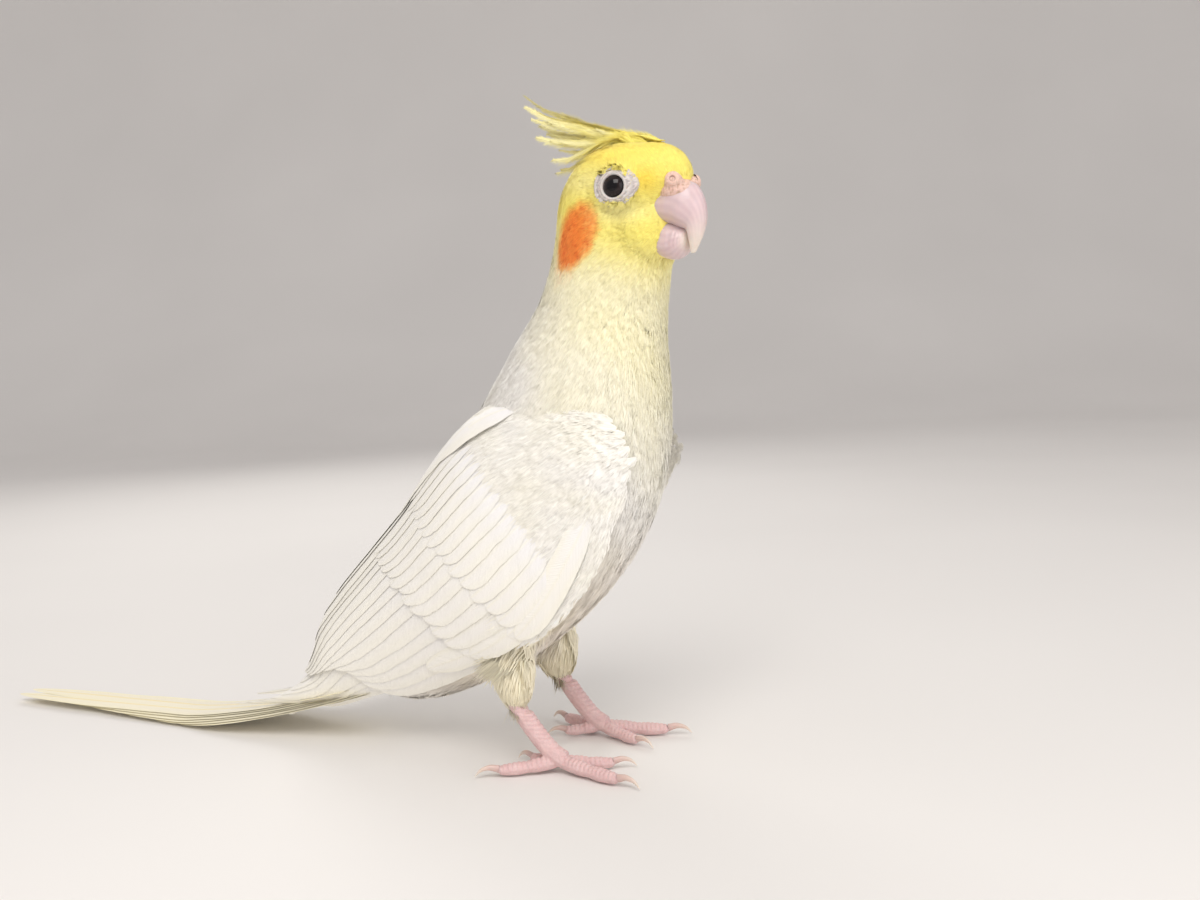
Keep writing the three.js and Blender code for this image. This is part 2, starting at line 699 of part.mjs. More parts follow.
function buildWings() {
  const side = -1;
  const vanes = wingTiers().map((spec) => wingVane(side, spec));
  const otherHalf = box(vec(-300, -GAP / 2, -50), vec(100, 60, 250));
  const wing = fuse([wingShell(side), ...vanes]).subtract(bodyClear).subtract(otherHalf);
  const right = addNode("wing_right", wing, PLUMAGE_WHITE);
  addNode("wing_left", right.mirror([0, 1, 0]), PLUMAGE_WHITE);
}

// Tail: twelve graded feathers, folded, laid from the rump down to the floor and along it.

const TAIL = { rootX: -62, rootZ: 17, length: 150, onFloorX: -140, layer: 0.36, step: 18 };

// Height of the tail's middle surface above the floor.
function tailHeight(x) {
  const t = THREE.MathUtils.clamp((TAIL.rootX - x) / (TAIL.rootX - TAIL.onFloorX), 0, 1);
  return 0.3 + (TAIL.rootZ - 0.3) * (1 - t) ** 1.5;
}

function tailVane({ reach, sideways, width, level, start = 0 }) {
  const rootX = TAIL.rootX - start + 6;
  const tipX = TAIL.rootX - start - reach;
  return blade(
    (t, across) => {
      const x = mix(rootX, tipX, t);
      const half = (width / 2) * featherWidth(t, 0.3);
      const centreY = sideways * mix(0.35, 1, Math.sqrt(t));
      return { point: vec(x, centreY + across * half, tailHeight(x) + level), out: vec(0, 0, 1) };
    },
    stationsBetween(rootX, tipX, TAIL.step),
    VANE_THICKNESS,
  );
}

function buildTail() {
  const vanes = [];
  for (let pair = 0; pair < 6; pair++)
    for (const side of [-1, 1]) {
      const share = pair / 5;
      vanes.push(
        tailVane({
          reach: mix(TAIL.length, 76, share ** 0.85) * vary(0.012),
          sideways: side * mix(2.4, 9.5, share),
          width: mix(9.2, 8.6, share),
          level: TAIL.layer * (5 - pair + (side > 0 ? 0.4 : 0)),
        }),
      );
    }
  const coverts = [];
  for (let i = 0; i < 4; i++) {
    const sideways = mix(-6, 6, i / 3);
    const inner = 1 - Math.abs(2 * (i / 3) - 1);
    coverts.push(
      tailVane({ reach: mix(32, 42, inner) * vary(0.05), sideways, width: 8.5, level: TAIL.layer * (6.4 + 0.4 * i) }),
      tailVane({ reach: mix(26, 36, inner) * vary(0.05), sideways, width: 8.5, level: -TAIL.layer * (1 + 0.4 * i) }),
    );
  }
  const root = limb([vec(-50, 0, 20), vec(-64, 0, 18), vec(-78, 0, 13.6)], (t) => [mix(9, 7, t), mix(6, 2.2, t)], 14, 8);
  const tail = fuse([root, ...vanes, ...coverts]).subtract(bodyClear).subtract(belowFloor);
  const wings = fuse([placed.get("wing_right"), placed.get("wing_left")]);
  addNode("tail", tail.subtract(cleared(wings, [[0, 0, -1]])), PLUMAGE_WHITE);
}

// Legs: feathered shanks, scaly feet with two toes forward and two back, and a claw on each toe.

const FOOT = { x: -9, y: 14.5, ankle: vec(-20, 0, 16.5) };
const TOES = [
  // heading in degrees from straight ahead, positive towards the midline, length, thickness
  { name: "outer_front", heading: -16, length: 20, radius: 2.1 },
  { name: "inner_front", heading: 24, length: 15, radius: 1.9 },
  { name: "outer_back", heading: -152, length: 17, radius: 2.0 },
  { name: "inner_back", heading: 160, length: 11, radius: 1.8 },
];

function toePath(side, toe) {
  const angle = radians(toe.heading) * -side;
  const ahead = vec(Math.cos(angle), Math.sin(angle), 0);
  const heel = vec(FOOT.x, side * FOOT.y, 2.6);
  const at = (share, z) => heel.clone().addScaledVector(ahead, toe.length * share).setZ(z);
  return { ahead, points: [at(-0.05, 3), at(0.3, 2.3), at(0.7, 1.7), at(1, 1.7)] };
}

function toeSolid(side, toe) {
  const { points } = toePath(side, toe);
  return limb(
    points,
    (t) => {
      const pads = 1 + 0.1 * Math.cos(t * Math.PI * 2 * 3);
      const r = mix(toe.radius, toe.radius * 0.74, t) * pads;
      return [r, r];
    },
    8,
    8,
  );
}

function clawSolid(side, toe, grow = 0) {
  const { ahead, points } = toePath(side, toe);
  const start = points[3];
  const at = (reach, z) => start.clone().addScaledVector(ahead, reach).setZ(z);
  const size = toe.radius / 2.1;
  return limb(
    [at(-1.2, 2.2), at(1.2, 2.7), at(3.6 * size, 2.1), at(5.4 * size, 0.45)],
    (t) => {
      const r = mix(1.05, 0.2, t) * size + grow;
      return [r * 0.85, r];
    },
    6,
    6,
  );
}

function buildLegs() {
  for (const [word, side] of [["right", -1], ["left", 1]]) {
    const y = side * FOOT.y;
    const ankle = vec(FOOT.ankle.x, y, FOOT.ankle.z);
    const thigh = limb(
      [vec(-24, side * 11, 44), vec(-23.5, side * 12.4, 33), vec(-21.5, side * 13.8, 22), vec(-20, y, 14.5)],
      (t) => [mix(8.2, 4, t ** 0.8), mix(11, 4.4, t ** 0.8)],
      16,
      10,
    );
    const tarsus = limb(
      [ankle.clone().add(vec(-1.5, 0, 2)), vec(-16, y, 10.5), vec(FOOT.x - 1.5, y, 4.6), vec(FOOT.x + 2.5, y, 2.8)],
      (t) => [mix(2.3, 2.7, t), mix(2.6, 2.4, t)],
      10,
      10,
    );
    const shank = thigh.subtract(bodyClear);
    const shankClear = limb(
      [vec(-24, side * 11, 44), vec(-23.5, side * 12.4, 33), vec(-21.5, side * 13.8, 22), vec(-20, y, 14.5)],
      (t) => [mix(8.2, 4, t ** 0.8) + GAP, mix(11, 4.4, t ** 0.8) + GAP],
      16,
      10,
    ).add(box(vec(-60, -60, 15), vec(60, 60, 60)));
    const wing = placed.get("wing_" + word);
    addNode("shank_" + word, shank.subtract(cleared(wing, [[0, -side, 0], [0, 0, -1]])), CREAM);
    const foot = fuse([tarsus, ...TOES.map((toe) => toeSolid(side, toe))]).subtract(belowFloor);
    const claws = TOES.map((toe) => clawSolid(side, toe, GAP));
    addNode("foot_" + word, foot.subtract(shankClear).subtract(fuse(claws)), SKIN_PINK, 0.6);
    for (const toe of TOES) {
      const claw = clawSolid(side, toe).subtract(belowFloor);
      addNode(`claw_${word}_${toe.name}`, claw, HORN_PINK, 0.3);
    }
  }
}

buildHead();
buildCrest();
buildWings();
buildTail();
buildLegs();

// The origin goes to the middle of the box, on the floor.
const whole = new THREE.Box3().setFromObject(group);
const middle = whole.getCenter(vec(0, 0, 0));
group.position.set(-middle.x, -middle.y, -whole.min.z);

export default group;
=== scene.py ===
# %% [markdown]
# # A lutino cockatiel
# The solids of the bird come in first and stay as they are: they fix every size and place. On them this script
# builds one smooth skin, a coat of small feathers that follows the lie of the plumage, the long vanes of wings,
# tail and crest, and the fine parts of the face and feet. Lengths are written in millimetres of the bird's own
# frame (it faces +X, its left is +Y, the floor is z = 0) and turned into metres where a mesh is made.

# %% Load the frame
import math

import bpy
import numpy as np
from mathutils import Matrix, Vector
from mathutils.bvhtree import BVHTree


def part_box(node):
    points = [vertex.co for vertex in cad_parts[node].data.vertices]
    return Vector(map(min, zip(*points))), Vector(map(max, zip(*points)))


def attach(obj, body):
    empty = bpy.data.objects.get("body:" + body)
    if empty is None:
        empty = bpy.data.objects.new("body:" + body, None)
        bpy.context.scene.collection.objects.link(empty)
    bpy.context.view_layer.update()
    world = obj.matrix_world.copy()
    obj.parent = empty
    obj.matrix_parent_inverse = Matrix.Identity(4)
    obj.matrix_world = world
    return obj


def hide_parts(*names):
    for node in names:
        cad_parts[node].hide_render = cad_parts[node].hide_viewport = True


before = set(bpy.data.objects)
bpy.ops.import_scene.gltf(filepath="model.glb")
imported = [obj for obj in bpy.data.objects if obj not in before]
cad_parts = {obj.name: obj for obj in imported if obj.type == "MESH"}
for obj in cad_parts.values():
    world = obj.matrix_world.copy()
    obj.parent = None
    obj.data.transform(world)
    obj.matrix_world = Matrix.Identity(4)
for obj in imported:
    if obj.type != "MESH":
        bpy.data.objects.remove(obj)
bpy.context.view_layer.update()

# %% [markdown]
# The head is turned to the bird's right. The eyes were placed from the head's centre, so the middle of their
# boxes gives the shift between the bird's own frame and the model's.

# %% Where the bird stands
MM = 0.001
HEAD_TURN = math.radians(-18)
NECK_PIVOT_X = 5.0
HEAD_CENTRE = np.array([12.0, 0.0, 145.8])
EYE = {"x": 4.4, "y": 10.4, "z": 1.0, "radius": 3.3, "forward": math.radians(18)}


def turned(points, share=1.0):
    """Points turned with the head about the neck."""
    points = np.atleast_2d(np.asarray(points, float))
    angle = HEAD_TURN * share
    x = points[:, 0] - NECK_PIVOT_X
    y = points[:, 1]
    out = points.copy()
    out[:, 0] = NECK_PIVOT_X + x * np.cos(angle) - y * np.sin(angle)
    out[:, 1] = x * np.sin(angle) + y * np.cos(angle)
    return out


def on_head(points):
    """Points given from the head's centre, in the bird's frame."""
    return turned(np.atleast_2d(np.asarray(points, float)) + HEAD_CENTRE)


def from_head(points):
    """The other way: bird's frame to the head's own."""
    return turned(points, -1.0) - HEAD_CENTRE


def head_way(vectors, share=1.0):
    """Directions given in the head's own frame, turned with it; a share of -1 turns them back."""
    pivot = [NECK_PIVOT_X, 0, 0]
    return turned(np.atleast_2d(vectors) + pivot, share) - pivot


def node_middle(name):
    low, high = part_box(name)
    return (np.array(low) + np.array(high)) / 2 / MM


SHIFT = (node_middle("eye_right") + node_middle("eye_left")) / 2 - on_head([EYE["x"], 0, EYE["z"]])[0]
print("the bird's frame is shifted by, mm:", SHIFT.round(3))


def to_model(points):
    return (np.asarray(points, float) + SHIFT) * MM


def to_bird(points):
    return np.asarray(points, float) / MM - SHIFT


def smooth(x, low, high):
    t = np.clip((np.asarray(x, float) - low) / (high - low), 0, 1)
    return t * t * (3 - 2 * t)


def mix(a, b, t):
    return a + (b - a) * t


def unit(v):
    return v / np.maximum(np.linalg.norm(v, axis=-1, keepdims=True), 1e-9)


SIDES = (("right", -1), ("left", 1))
EYE_AXES = {side: unit(head_way([math.sin(EYE["forward"]), side * math.cos(EYE["forward"]), 0.04]))[0]
            for side in (-1, 1)}
EYE_CENTRES = {side: on_head([EYE["x"], side * EYE["y"], EYE["z"]])[0] for side in (-1, 1)}


# %% [markdown]
# Large meshes are filled from arrays in one go, which is far quicker than adding faces one by one. Small helpers
# select nothing by accident: every operator works on one active object.

# %% Helpers for meshes
rng = np.random.default_rng(11)


def only(obj):
    """Makes obj the one selected and active object."""
    bpy.ops.object.select_all(action="DESELECT")
    obj.select_set(True)
    bpy.context.view_layer.objects.active = obj
    return obj


def make_piece(name, points, faces, colours=None, normals=None, shade_smooth=True):
    """A mesh object from points in the bird's millimetres and faces with three or four corners each."""
    faces = np.asarray(faces, np.int32)
    points = to_model(points)
    mesh = bpy.data.meshes.new(name)
    mesh.vertices.add(len(points))
    mesh.vertices.foreach_set("co", points.astype(np.float32).ravel())
    sides = faces.shape[1]
    mesh.loops.add(faces.size)
    mesh.loops.foreach_set("vertex_index", faces.ravel())
    mesh.polygons.add(len(faces))
    mesh.polygons.foreach_set("loop_start", np.arange(0, faces.size, sides, dtype=np.int32))
    mesh.polygons.foreach_set("loop_total", np.full(len(faces), sides, np.int32))
    mesh.polygons.foreach_set("use_smooth", np.full(len(faces), shade_smooth))
    mesh.update(calc_edges=True)
    if colours is not None:
        paint(mesh, colours)
    if normals is not None:
        mesh.normals_split_custom_set_from_vertices(unit(normals).tolist())
    obj = bpy.data.objects.new(name, mesh)
    bpy.context.collection.objects.link(obj)
    return obj


def paint(mesh, colours):
    """Stores a colour for each vertex under the name plumage."""
    rgba = np.ones((len(mesh.vertices), 4), np.float32)
    rgba[:, :3] = colours
    layer = mesh.color_attributes.new("plumage", "FLOAT_COLOR", "POINT")
    layer.data.foreach_set("color", rgba.ravel())


def add_uv(obj, name, uv_of_vertex):
    mesh = obj.data
    layer = mesh.uv_layers.new(name=name)
    corners = np.empty(len(mesh.loops), np.int32)
    mesh.loops.foreach_get("vertex_index", corners)
    layer.data.foreach_set("uv", np.asarray(uv_of_vertex, np.float32)[corners].ravel())


def vertices_of(obj):
    points = np.empty(len(obj.data.vertices) * 3, np.float32)
    obj.data.vertices.foreach_get("co", points)
    return to_bird(points.reshape(-1, 3).astype(float))


def normals_of(obj):
    normals = np.empty(len(obj.data.vertices) * 3, np.float32)
    obj.data.vertex_normals.foreach_get("vector", normals)
    return normals.reshape(-1, 3).astype(float)


def move_vertices(obj, points):
    obj.data.vertices.foreach_set("co", to_model(points).astype(np.float32).ravel())
    obj.data.update()


def modify(obj, kind, **settings):
    """Adds one modifier and applies it."""
    only(obj)
    modifier = obj.modifiers.new(kind.lower(), kind)
    for key, value in settings.items():
        setattr(modifier, key, value)
    bpy.ops.object.modifier_apply(modifier=modifier.name)
    return obj


def edit(obj, *steps):
    """Runs operators on all of a mesh in edit mode."""
    only(obj)
    bpy.ops.object.mode_set(mode="EDIT")
    bpy.ops.mesh.select_all(action="SELECT")
    for step in steps:
        step()
    bpy.ops.object.mode_set(mode="OBJECT")
    return obj


def sphere(centre, segments, rings, rotation, radius=MM, radii=(1, 1, 1)):
    """A ball or ellipsoid at a place of the bird, not yet applied."""
    bpy.ops.mesh.primitive_uv_sphere_add(segments=segments, ring_count=rings, radius=radius,
                                         location=to_model(centre), rotation=rotation, scale=radii)
    return bpy.context.view_layer.objects.active


def apply_transform():
    bpy.ops.object.transform_apply(location=True, rotation=True, scale=True)


def grid_faces(columns, rows, wrap=True):
    """Quads of a grid whose rows close on themselves."""
    i = np.arange(rows - 1)[:, None] * columns
    j = np.arange(columns if wrap else columns - 1)[None]
    k = (j + 1) % columns
    return np.stack([i + j, i + k, i + columns + k, i + columns + j], -1).reshape(-1, 4)


def grid_piece(name, points, colours, material, slot, *nodes):
    """A piece from a grid of points whose rows close on themselves."""
    obj = make_piece(name, points.reshape(-1, 3), grid_faces(points.shape[1], points.shape[0]),
                     colours.reshape(-1, 3))
    obj.data.materials.append(material)
    return settle(obj, slot, *nodes)


def stack_parts(parts):
    """Parts joined into one: their arrays end to end, their faces counted on."""
    starts = np.cumsum([0] + [len(part["points"]) for part in parts[:-1]])
    stacked = {key: np.concatenate([part[key] for part in parts]) for key in parts[0] if key != "faces"}
    stacked["faces"] = np.concatenate([part["faces"] + start for part, start in zip(parts, starts)])
    return stacked


def feather_piece(name, parts, material, slot, *nodes):
    """Fans or vanes joined into one object, with the map OFBake and, on vanes, the map of their barbs."""
    whole = stack_parts(parts)
    obj = make_piece(name, whole["points"], whole["faces"], whole["colours"], whole.get("normals"))
    add_uv(obj, "OFBake", whole["bake"])
    if "barbs" in whole:
        add_uv(obj, "barbs", whole["barbs"])
    obj.data.materials.append(material)
    print(name, len(parts), "parts,", len(obj.data.polygons), "faces")
    return settle(obj, slot, *nodes)


def joined_copy(name, nodes):
    """One new object with the meshes of these solids, their doubled corners merged."""
    copies = []
    for node in nodes:
        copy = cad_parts[node].copy()
        copy.data = copy.data.copy()
        copy.parent = None
        copy.matrix_world = Matrix.Identity(4)
        bpy.context.collection.objects.link(copy)
        copies.append(copy)
    bpy.ops.object.select_all(action="DESELECT")
    for copy in copies:
        copy.select_set(True)
    bpy.context.view_layer.objects.active = copies[0]
    if len(copies) > 1:
        bpy.ops.object.join()
    obj = bpy.context.view_layer.objects.active
    obj.name = obj.data.name = name
    obj.data.materials.clear()
    return edit(obj, lambda: bpy.ops.mesh.remove_doubles(threshold=0.02 * MM),
                bpy.ops.mesh.customdata_custom_splitnormals_clear)


def settle(obj, slot, *nodes):
    """Every piece rides on the one body and may stand for solids; slot is not used."""
    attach(obj, "root")
    if nodes:
        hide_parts(*nodes)
    return obj


# %% [markdown]
# Materials are written as sums: a small class wraps a node's socket, so that a mask or a colour can be added and
# multiplied in plain Python.

# %% Helpers for materials
class Value:
    """A socket of a material's nodes that takes part in sums."""

    def __init__(self, shader, socket):
        self.shader, self.socket = shader, socket

    def sum(self, operation, a, b):
        return self.shader.node("ShaderNodeMath", {"operation": operation}, {0: a, 1: b})

    def __add__(self, other):
        return self.sum("ADD", self, other)

    def __sub__(self, other):
        return self.sum("SUBTRACT", self, other)

    def __mul__(self, other):
        return self.sum("MULTIPLY", self, other)


class Shader:
    """One material and the nodes in it."""

    def __init__(self, name, **fixed):
        self.material = bpy.data.materials.new(name)
        self.material.use_nodes = True
        self.nodes = self.material.node_tree.nodes
        self.links = self.material.node_tree.links
        self.surface = self.nodes["Principled BSDF"]
        for key, value in fixed.items():
            self.surface.inputs[key.replace("_", " ")].default_value = value

    def node(self, kind, settings, inputs, output=0):
        made = self.nodes.new(kind)
        for key, value in settings.items():
            if key == "stops":
                self.set_stops(made.color_ramp, value)
            else:
                setattr(made, key, value)
        for key, value in inputs.items():
            if isinstance(value, Value):
                self.links.new(value.socket, made.inputs[key])
            else:
                made.inputs[key].default_value = value
        return Value(self, made.outputs[output])

    def set_stops(self, ramp, stops):
        while len(ramp.elements) < len(stops):
            ramp.elements.new(0.5)
        for element, (place, colour) in zip(ramp.elements, stops):
            element.position = place
            element.color = (*colour, 1)

    def place(self):
        return self.node("ShaderNodeTexCoord", {}, {}, "Object")

    def noise(self, scale, detail=3.0, rough=0.5, vector=None, output=0):
        vector = vector or self.place()
        inputs = {"Vector": vector, "Scale": scale, "Detail": detail, "Roughness": rough}
        return self.node("ShaderNodeTexNoise", {}, inputs, output)

    def attribute(self, name, output="Color"):
        return self.node("ShaderNodeAttribute", {"attribute_name": name}, {}, output)

    def blend(self, factor, a, b, how="MIX"):
        settings = {"data_type": "RGBA", "blend_type": how, "clamp_factor": True}
        made = self.nodes.new("ShaderNodeMix")
        for key, value in settings.items():
            setattr(made, key, value)
        for socket, value in ((made.inputs[0], factor), (made.inputs[6], a), (made.inputs[7], b)):
            if isinstance(value, Value):
                self.links.new(value.socket, socket)
            else:
                socket.default_value = value if np.isscalar(value) else (*value, 1)
        return Value(self, made.outputs[2])

    def ramp(self, value, stops):
        return self.node("ShaderNodeValToRGB", {"stops": stops}, {0: value})

    def set(self, name, value):
        self.links.new(value.socket, self.surface.inputs[name])

    def bump(self, height, distance, strength=1.0):
        inputs = {"Height": height, "Distance": distance, "Strength": strength}
        self.set("Normal", self.node("ShaderNodeBump", {}, inputs))


def seen(*srgb):
    """A colour given as it looks on a screen, made linear for the shader."""
    c = np.array(srgb, float)
    return np.where(c <= 0.04045, c / 12.92, ((c + 0.055) / 1.055) ** 2.4)


# %% [markdown]
# ## The markings
# A lutino has no grey: it is white washed with yellow. The yellow is strongest on the face and crown, the ears
# are covered by an orange patch, and the belly is a warm peach cream. One formula gives the colour at any point,
# and skin and coat both read it, so that no edge shows between them.

# %% Colours by place
WHITE = seen(0.975, 0.965, 0.945)
LEMON = seen(0.985, 0.95, 0.70)
YELLOW = seen(0.99, 0.93, 0.46)
GOLD = seen(0.995, 0.87, 0.30)
ORANGE = seen(0.97, 0.50, 0.20)
EMBER = seen(0.88, 0.33, 0.12)
PEACH = seen(0.965, 0.925, 0.86)
CHEEK = {"x": -6.4, "z": -10.2, "half_x": 5.6, "half_z": 8.6, "slant": 0.30}


def wobble(points, size, seed):
    """Soft random hills between -1 and 1, about size millimetres across."""
    waves = np.random.default_rng(seed)
    total = np.zeros(len(points))
    for _ in range(6):
        direction = unit(waves.normal(size=3))
        total += np.sin(points @ direction * (2 * math.pi / size) * waves.uniform(0.6, 1.5) + waves.uniform(0, 6.3))
    return total / 6


def cheek_mask(points):
    local = from_head(points)
    x = (local[:, 0] - CHEEK["x"] - CHEEK["slant"] * (local[:, 2] - CHEEK["z"])) / CHEEK["half_x"]
    z = (local[:, 2] - CHEEK["z"]) / CHEEK["half_z"]
    edge = np.sqrt(x**2 + z**2) + 0.12 * wobble(points, 4, 3)
    return (1 - smooth(edge, 0.70, 1.15)) * smooth(np.abs(local[:, 1]), 7.5, 10)


def colour_at(points):
    points = np.atleast_2d(points)
    x, y, z = points.T
    local = from_head(points)
    patches = wobble(points, 22, 5)
    colour = np.broadcast_to(WHITE, (len(points), 3)).copy()

    def wash(tint, amount):
        nonlocal colour
        colour = mix(colour, tint, np.clip(amount, 0, 1)[:, None])

    ahead = smooth(x + 0.4 * z, 20, 58)
    wash(LEMON, 0.62 * ahead * smooth(z, 55, 120) + 0.16 * patches)
    wash(PEACH, 0.75 * (1 - smooth(z, 30, 72)) * smooth(x, -75, -25))
    wash(LEMON, 0.3 * (1 - smooth(z, 30, 44)) * smooth(x, -36, -26) * smooth(np.abs(y), 6, 10))
    wash(YELLOW, smooth(z + 0.35 * local[:, 0], 120, 140) * 0.95)
    crown = smooth(local[:, 2], 5, 10) * (1 - smooth(local[:, 0], 9, 18))
    wash(GOLD, 0.7 * crown * (0.6 + 0.4 * wobble(points, 9, 8)))
    lores = np.exp(-(((local[:, 0] - 11.5) / 3) ** 2 + ((local[:, 2] - 2.5) / 3) ** 2))
    wash(GOLD, 0.8 * lores)
    pale_cheek = np.exp(-(((local[:, 0] - 5) / 7) ** 2 + ((local[:, 2] + 5) / 3) ** 2))
    wash(LEMON, 0.6 * pale_cheek)
    brow = np.exp(-(((local[:, 0] + 4) / 8) ** 2 + ((local[:, 2] - 3) / 3) ** 2))
    wash(LEMON, 0.5 * brow)
    cheek = cheek_mask(points)
    wash(GOLD, 0.6 * np.sqrt(cheek))
    wash(ORANGE, 0.9 * cheek)
    wash(EMBER, 0.75 * cheek * smooth(wobble(local * [1, 1, 2.2] + local[:, [2]] * [0.9, 0, 0], 2.2, 31), 0.05, 0.6))
    return colour


print("cheek colour, linear:", colour_at(on_head([-6.6, -13, -10.6])).round(3))

# %% [markdown]
# ## The skin
# The flesh solids are swelled a little so that the thin cuts between them close, remeshed into one surface and
# smoothed. Then the surface is drawn in by the depth of the coat, thin on the face and deep on the belly, so
# that the feather tips end where the solids do.

# %% One skin from the flesh solids
FLESH = ["head", "neck", "torso", "shank_right", "shank_left"]
SWELL, SKIN_VOXEL = 0.35, 0.85


def coat_depth(points):
    """How deep the feathers lie at a point, in millimetres."""
    points = np.atleast_2d(points)
    local = from_head(points)
    depth = mix(0.9, 1.6, 1 - smooth(points[:, 2], 100, 134))
    depth = mix(depth, 0.5, smooth(local[:, 0], 4, 14) * smooth(points[:, 2], 124, 134))
    shank = (1 - smooth(points[:, 2], 20, 36)) * smooth(points[:, 0], -32, -27)
    return mix(depth, 1.3, shank)


def tree_of(obj):
    faces = [list(polygon.vertices) for polygon in obj.data.polygons]
    return BVHTree.FromPolygons([Vector(p) for p in vertices_of(obj)], faces)


def spread_over(obj, values, rounds):
    """Values smoothed over the mesh, each corner with its neighbours."""
    edges = np.empty(len(obj.data.edges) * 2, np.int32)
    obj.data.edges.foreach_get("vertices", edges)
    a, b = edges.reshape(-1, 2).T
    degree = 1 + np.bincount(a, minlength=len(values)) + np.bincount(b, minlength=len(values))
    for _ in range(rounds):
        total = values + np.bincount(a, values[b], len(values)) + np.bincount(b, values[a], len(values))
        values = total / degree
    return values


skin = joined_copy("skin", FLESH)
flesh_tree = tree_of(skin)
modify(skin, "DISPLACE", strength=SWELL * MM, mid_level=0)
modify(skin, "REMESH", mode="VOXEL", voxel_size=SKIN_VOXEL * MM, use_smooth_shade=True)
modify(skin, "SMOOTH", factor=0.6, iterations=9)
outer_points, outer_normals = vertices_of(skin), normals_of(skin)
nearest = np.array([flesh_tree.find_nearest(Vector(p))[0] for p in outer_points])
shrunk = spread_over(skin, ((nearest - outer_points) * outer_normals).sum(1), 14)
print("smoothing had drawn the skin in by, mm:", np.percentile(shrunk, [5, 50, 95]).round(2))
depth = coat_depth(outer_points)
move_vertices(skin, outer_points + outer_normals * (np.clip(shrunk, -1, 2.5) - depth)[:, None])
modify(skin, "SMOOTH", factor=0.5, iterations=2)

# the face is fuller round the base of the bill, and each eye's socket is closed to a shallow dish
points = vertices_of(skin)
local = from_head(points)
for centre, radii in (([8.4, 0, -6.8], [5.6, 7.2, 10.2]), ([6.0, 0, -9.0], [7.6, 9.6, 9.0])):
    away = (local - centre) / radii
    inside = np.linalg.norm(away, axis=1)
    grown = np.array(centre) + away / np.maximum(inside, 0.2)[:, None] * radii
    local = np.where(((inside < 1) & (local[:, 0] > 4))[:, None], grown, local)
points = on_head(local)
for side in (-1, 1):
    ankle = np.stack([np.interp(points[:, 2], [14, 22], [-19.9, -21.5]), 0 * points[:, 0] + side * 14.2], 1)
    taper = smooth(points[:, 2], 25, 15) * (np.linalg.norm(points[:, :2] - ankle, axis=1) < 9) * 0.36
    points[:, :2] += (ankle - points[:, :2]) * taper[:, None]
    away = points - EYE_CENTRES[side]
    height = away @ EYE_AXES[side]
    off_axis = np.linalg.norm(away - height[:, None] * EYE_AXES[side], axis=1)
    dish = (height > -4) & (off_axis < 5.2)
    level = np.interp(off_axis, [0, 3.0, 4.2, 5.2], [0.3, 0.9, 1.5, 2.0])
    lifted = np.where(height < level, level, np.where(off_axis < 4.4, np.minimum(height, level + 0.3), height))
    points += (np.where(dish, lifted - height, 0) * smooth(off_axis, 5.2, 4.4))[:, None] * EYE_AXES[side]
move_vertices(skin, points)
modify(skin, "SMOOTH", factor=0.5, iterations=3)
skin_points, skin_normals = vertices_of(skin), normals_of(skin)
paint(skin.data, colour_at(skin_points))
settle(skin, "white_plumage", *FLESH)
print("skin:", len(skin.data.vertices), "corners")

# %% The skin as a surface to root feathers on
skin.data.calc_loop_triangles()
skin_triangles = np.array([list(t.vertices) for t in skin.data.loop_triangles])
skin_tree = BVHTree.FromPolygons([Vector(p) for p in skin_points], skin_triangles.tolist())


def nearest_on_skin(points):
    """The nearest skin point and its outward normal for each point."""
    found = [skin_tree.find_nearest(Vector(p)) for p in points]
    places = np.array([f[0] for f in found])
    normals = np.array([f[1] for f in found])
    return places, normals


# %% [markdown]
# ## The lie of the coat
# Feathers point away from the bill over the whole head and then run down the neck and back towards the tail.
# The direction is a field: a radial part round the bill's base that fades into a slanting flow down the body.

# %% Which way feathers point
BILL_BASE = on_head([17.5, 0, -3.0])[0]


def lie_at(points, normals):
    x, y, z = points.T
    slope = np.radians(np.interp(z, [10, 30, 60, 100, 130], [14, 34, 52, 64, 76]))
    flow = np.stack([-np.cos(slope), np.zeros_like(x), -np.sin(slope)], 1)
    shank = (1 - smooth(z, 24, 34)) * smooth(x, -33, -28) * smooth(np.abs(y), 5, 8)
    flow = mix(flow, np.array([0.1, 0.0, -1.0]), shank[:, None])
    away = points - BILL_BASE
    reach = np.linalg.norm(away, axis=1)
    share = (1 - smooth(reach, 16, 36))[:, None]
    lie = mix(unit(flow), unit(away), share)
    for centre in EYE_CENTRES.values():
        off_eye = points - centre
        gap = np.linalg.norm(off_eye, axis=1)
        lie += unit(off_eye) * (1.4 * (1 - smooth(gap, 5.0, 8.5)))[:, None]
    lie -= normals * (lie * normals).sum(1, keepdims=True)
    return unit(lie)


# %% [markdown]
# ## A coat of small feathers
# Each feather is a fan of narrow barbs: three triangles a barb, rooted together, spread like a hand and longest
# in the middle. Thousands overlap like tiles. Each is laid on the skin by finding where its tip would land, so it
# follows the body's curve, and its shading normal leans towards the skin's, which gives the silky look.

# %% Fans of barbs
BAKE_PATCH = 0.003


def unwrap(points):
    """A place on an unwrap of the body: round it, and along it from tail to crown."""
    x, y, z = points.T
    along = (0.55 * (x + 70) + z) / 235
    centre_x = np.interp(z, [10, 30, 60, 90, 120, 160], [-60, -38, -16, -6, 2, 11])
    around = np.arctan2(y, x - centre_x) / (2 * math.pi) + 0.5
    return np.stack([np.clip(around, 0.01, 0.99), np.clip(along, 0.01, 0.99)], 1)


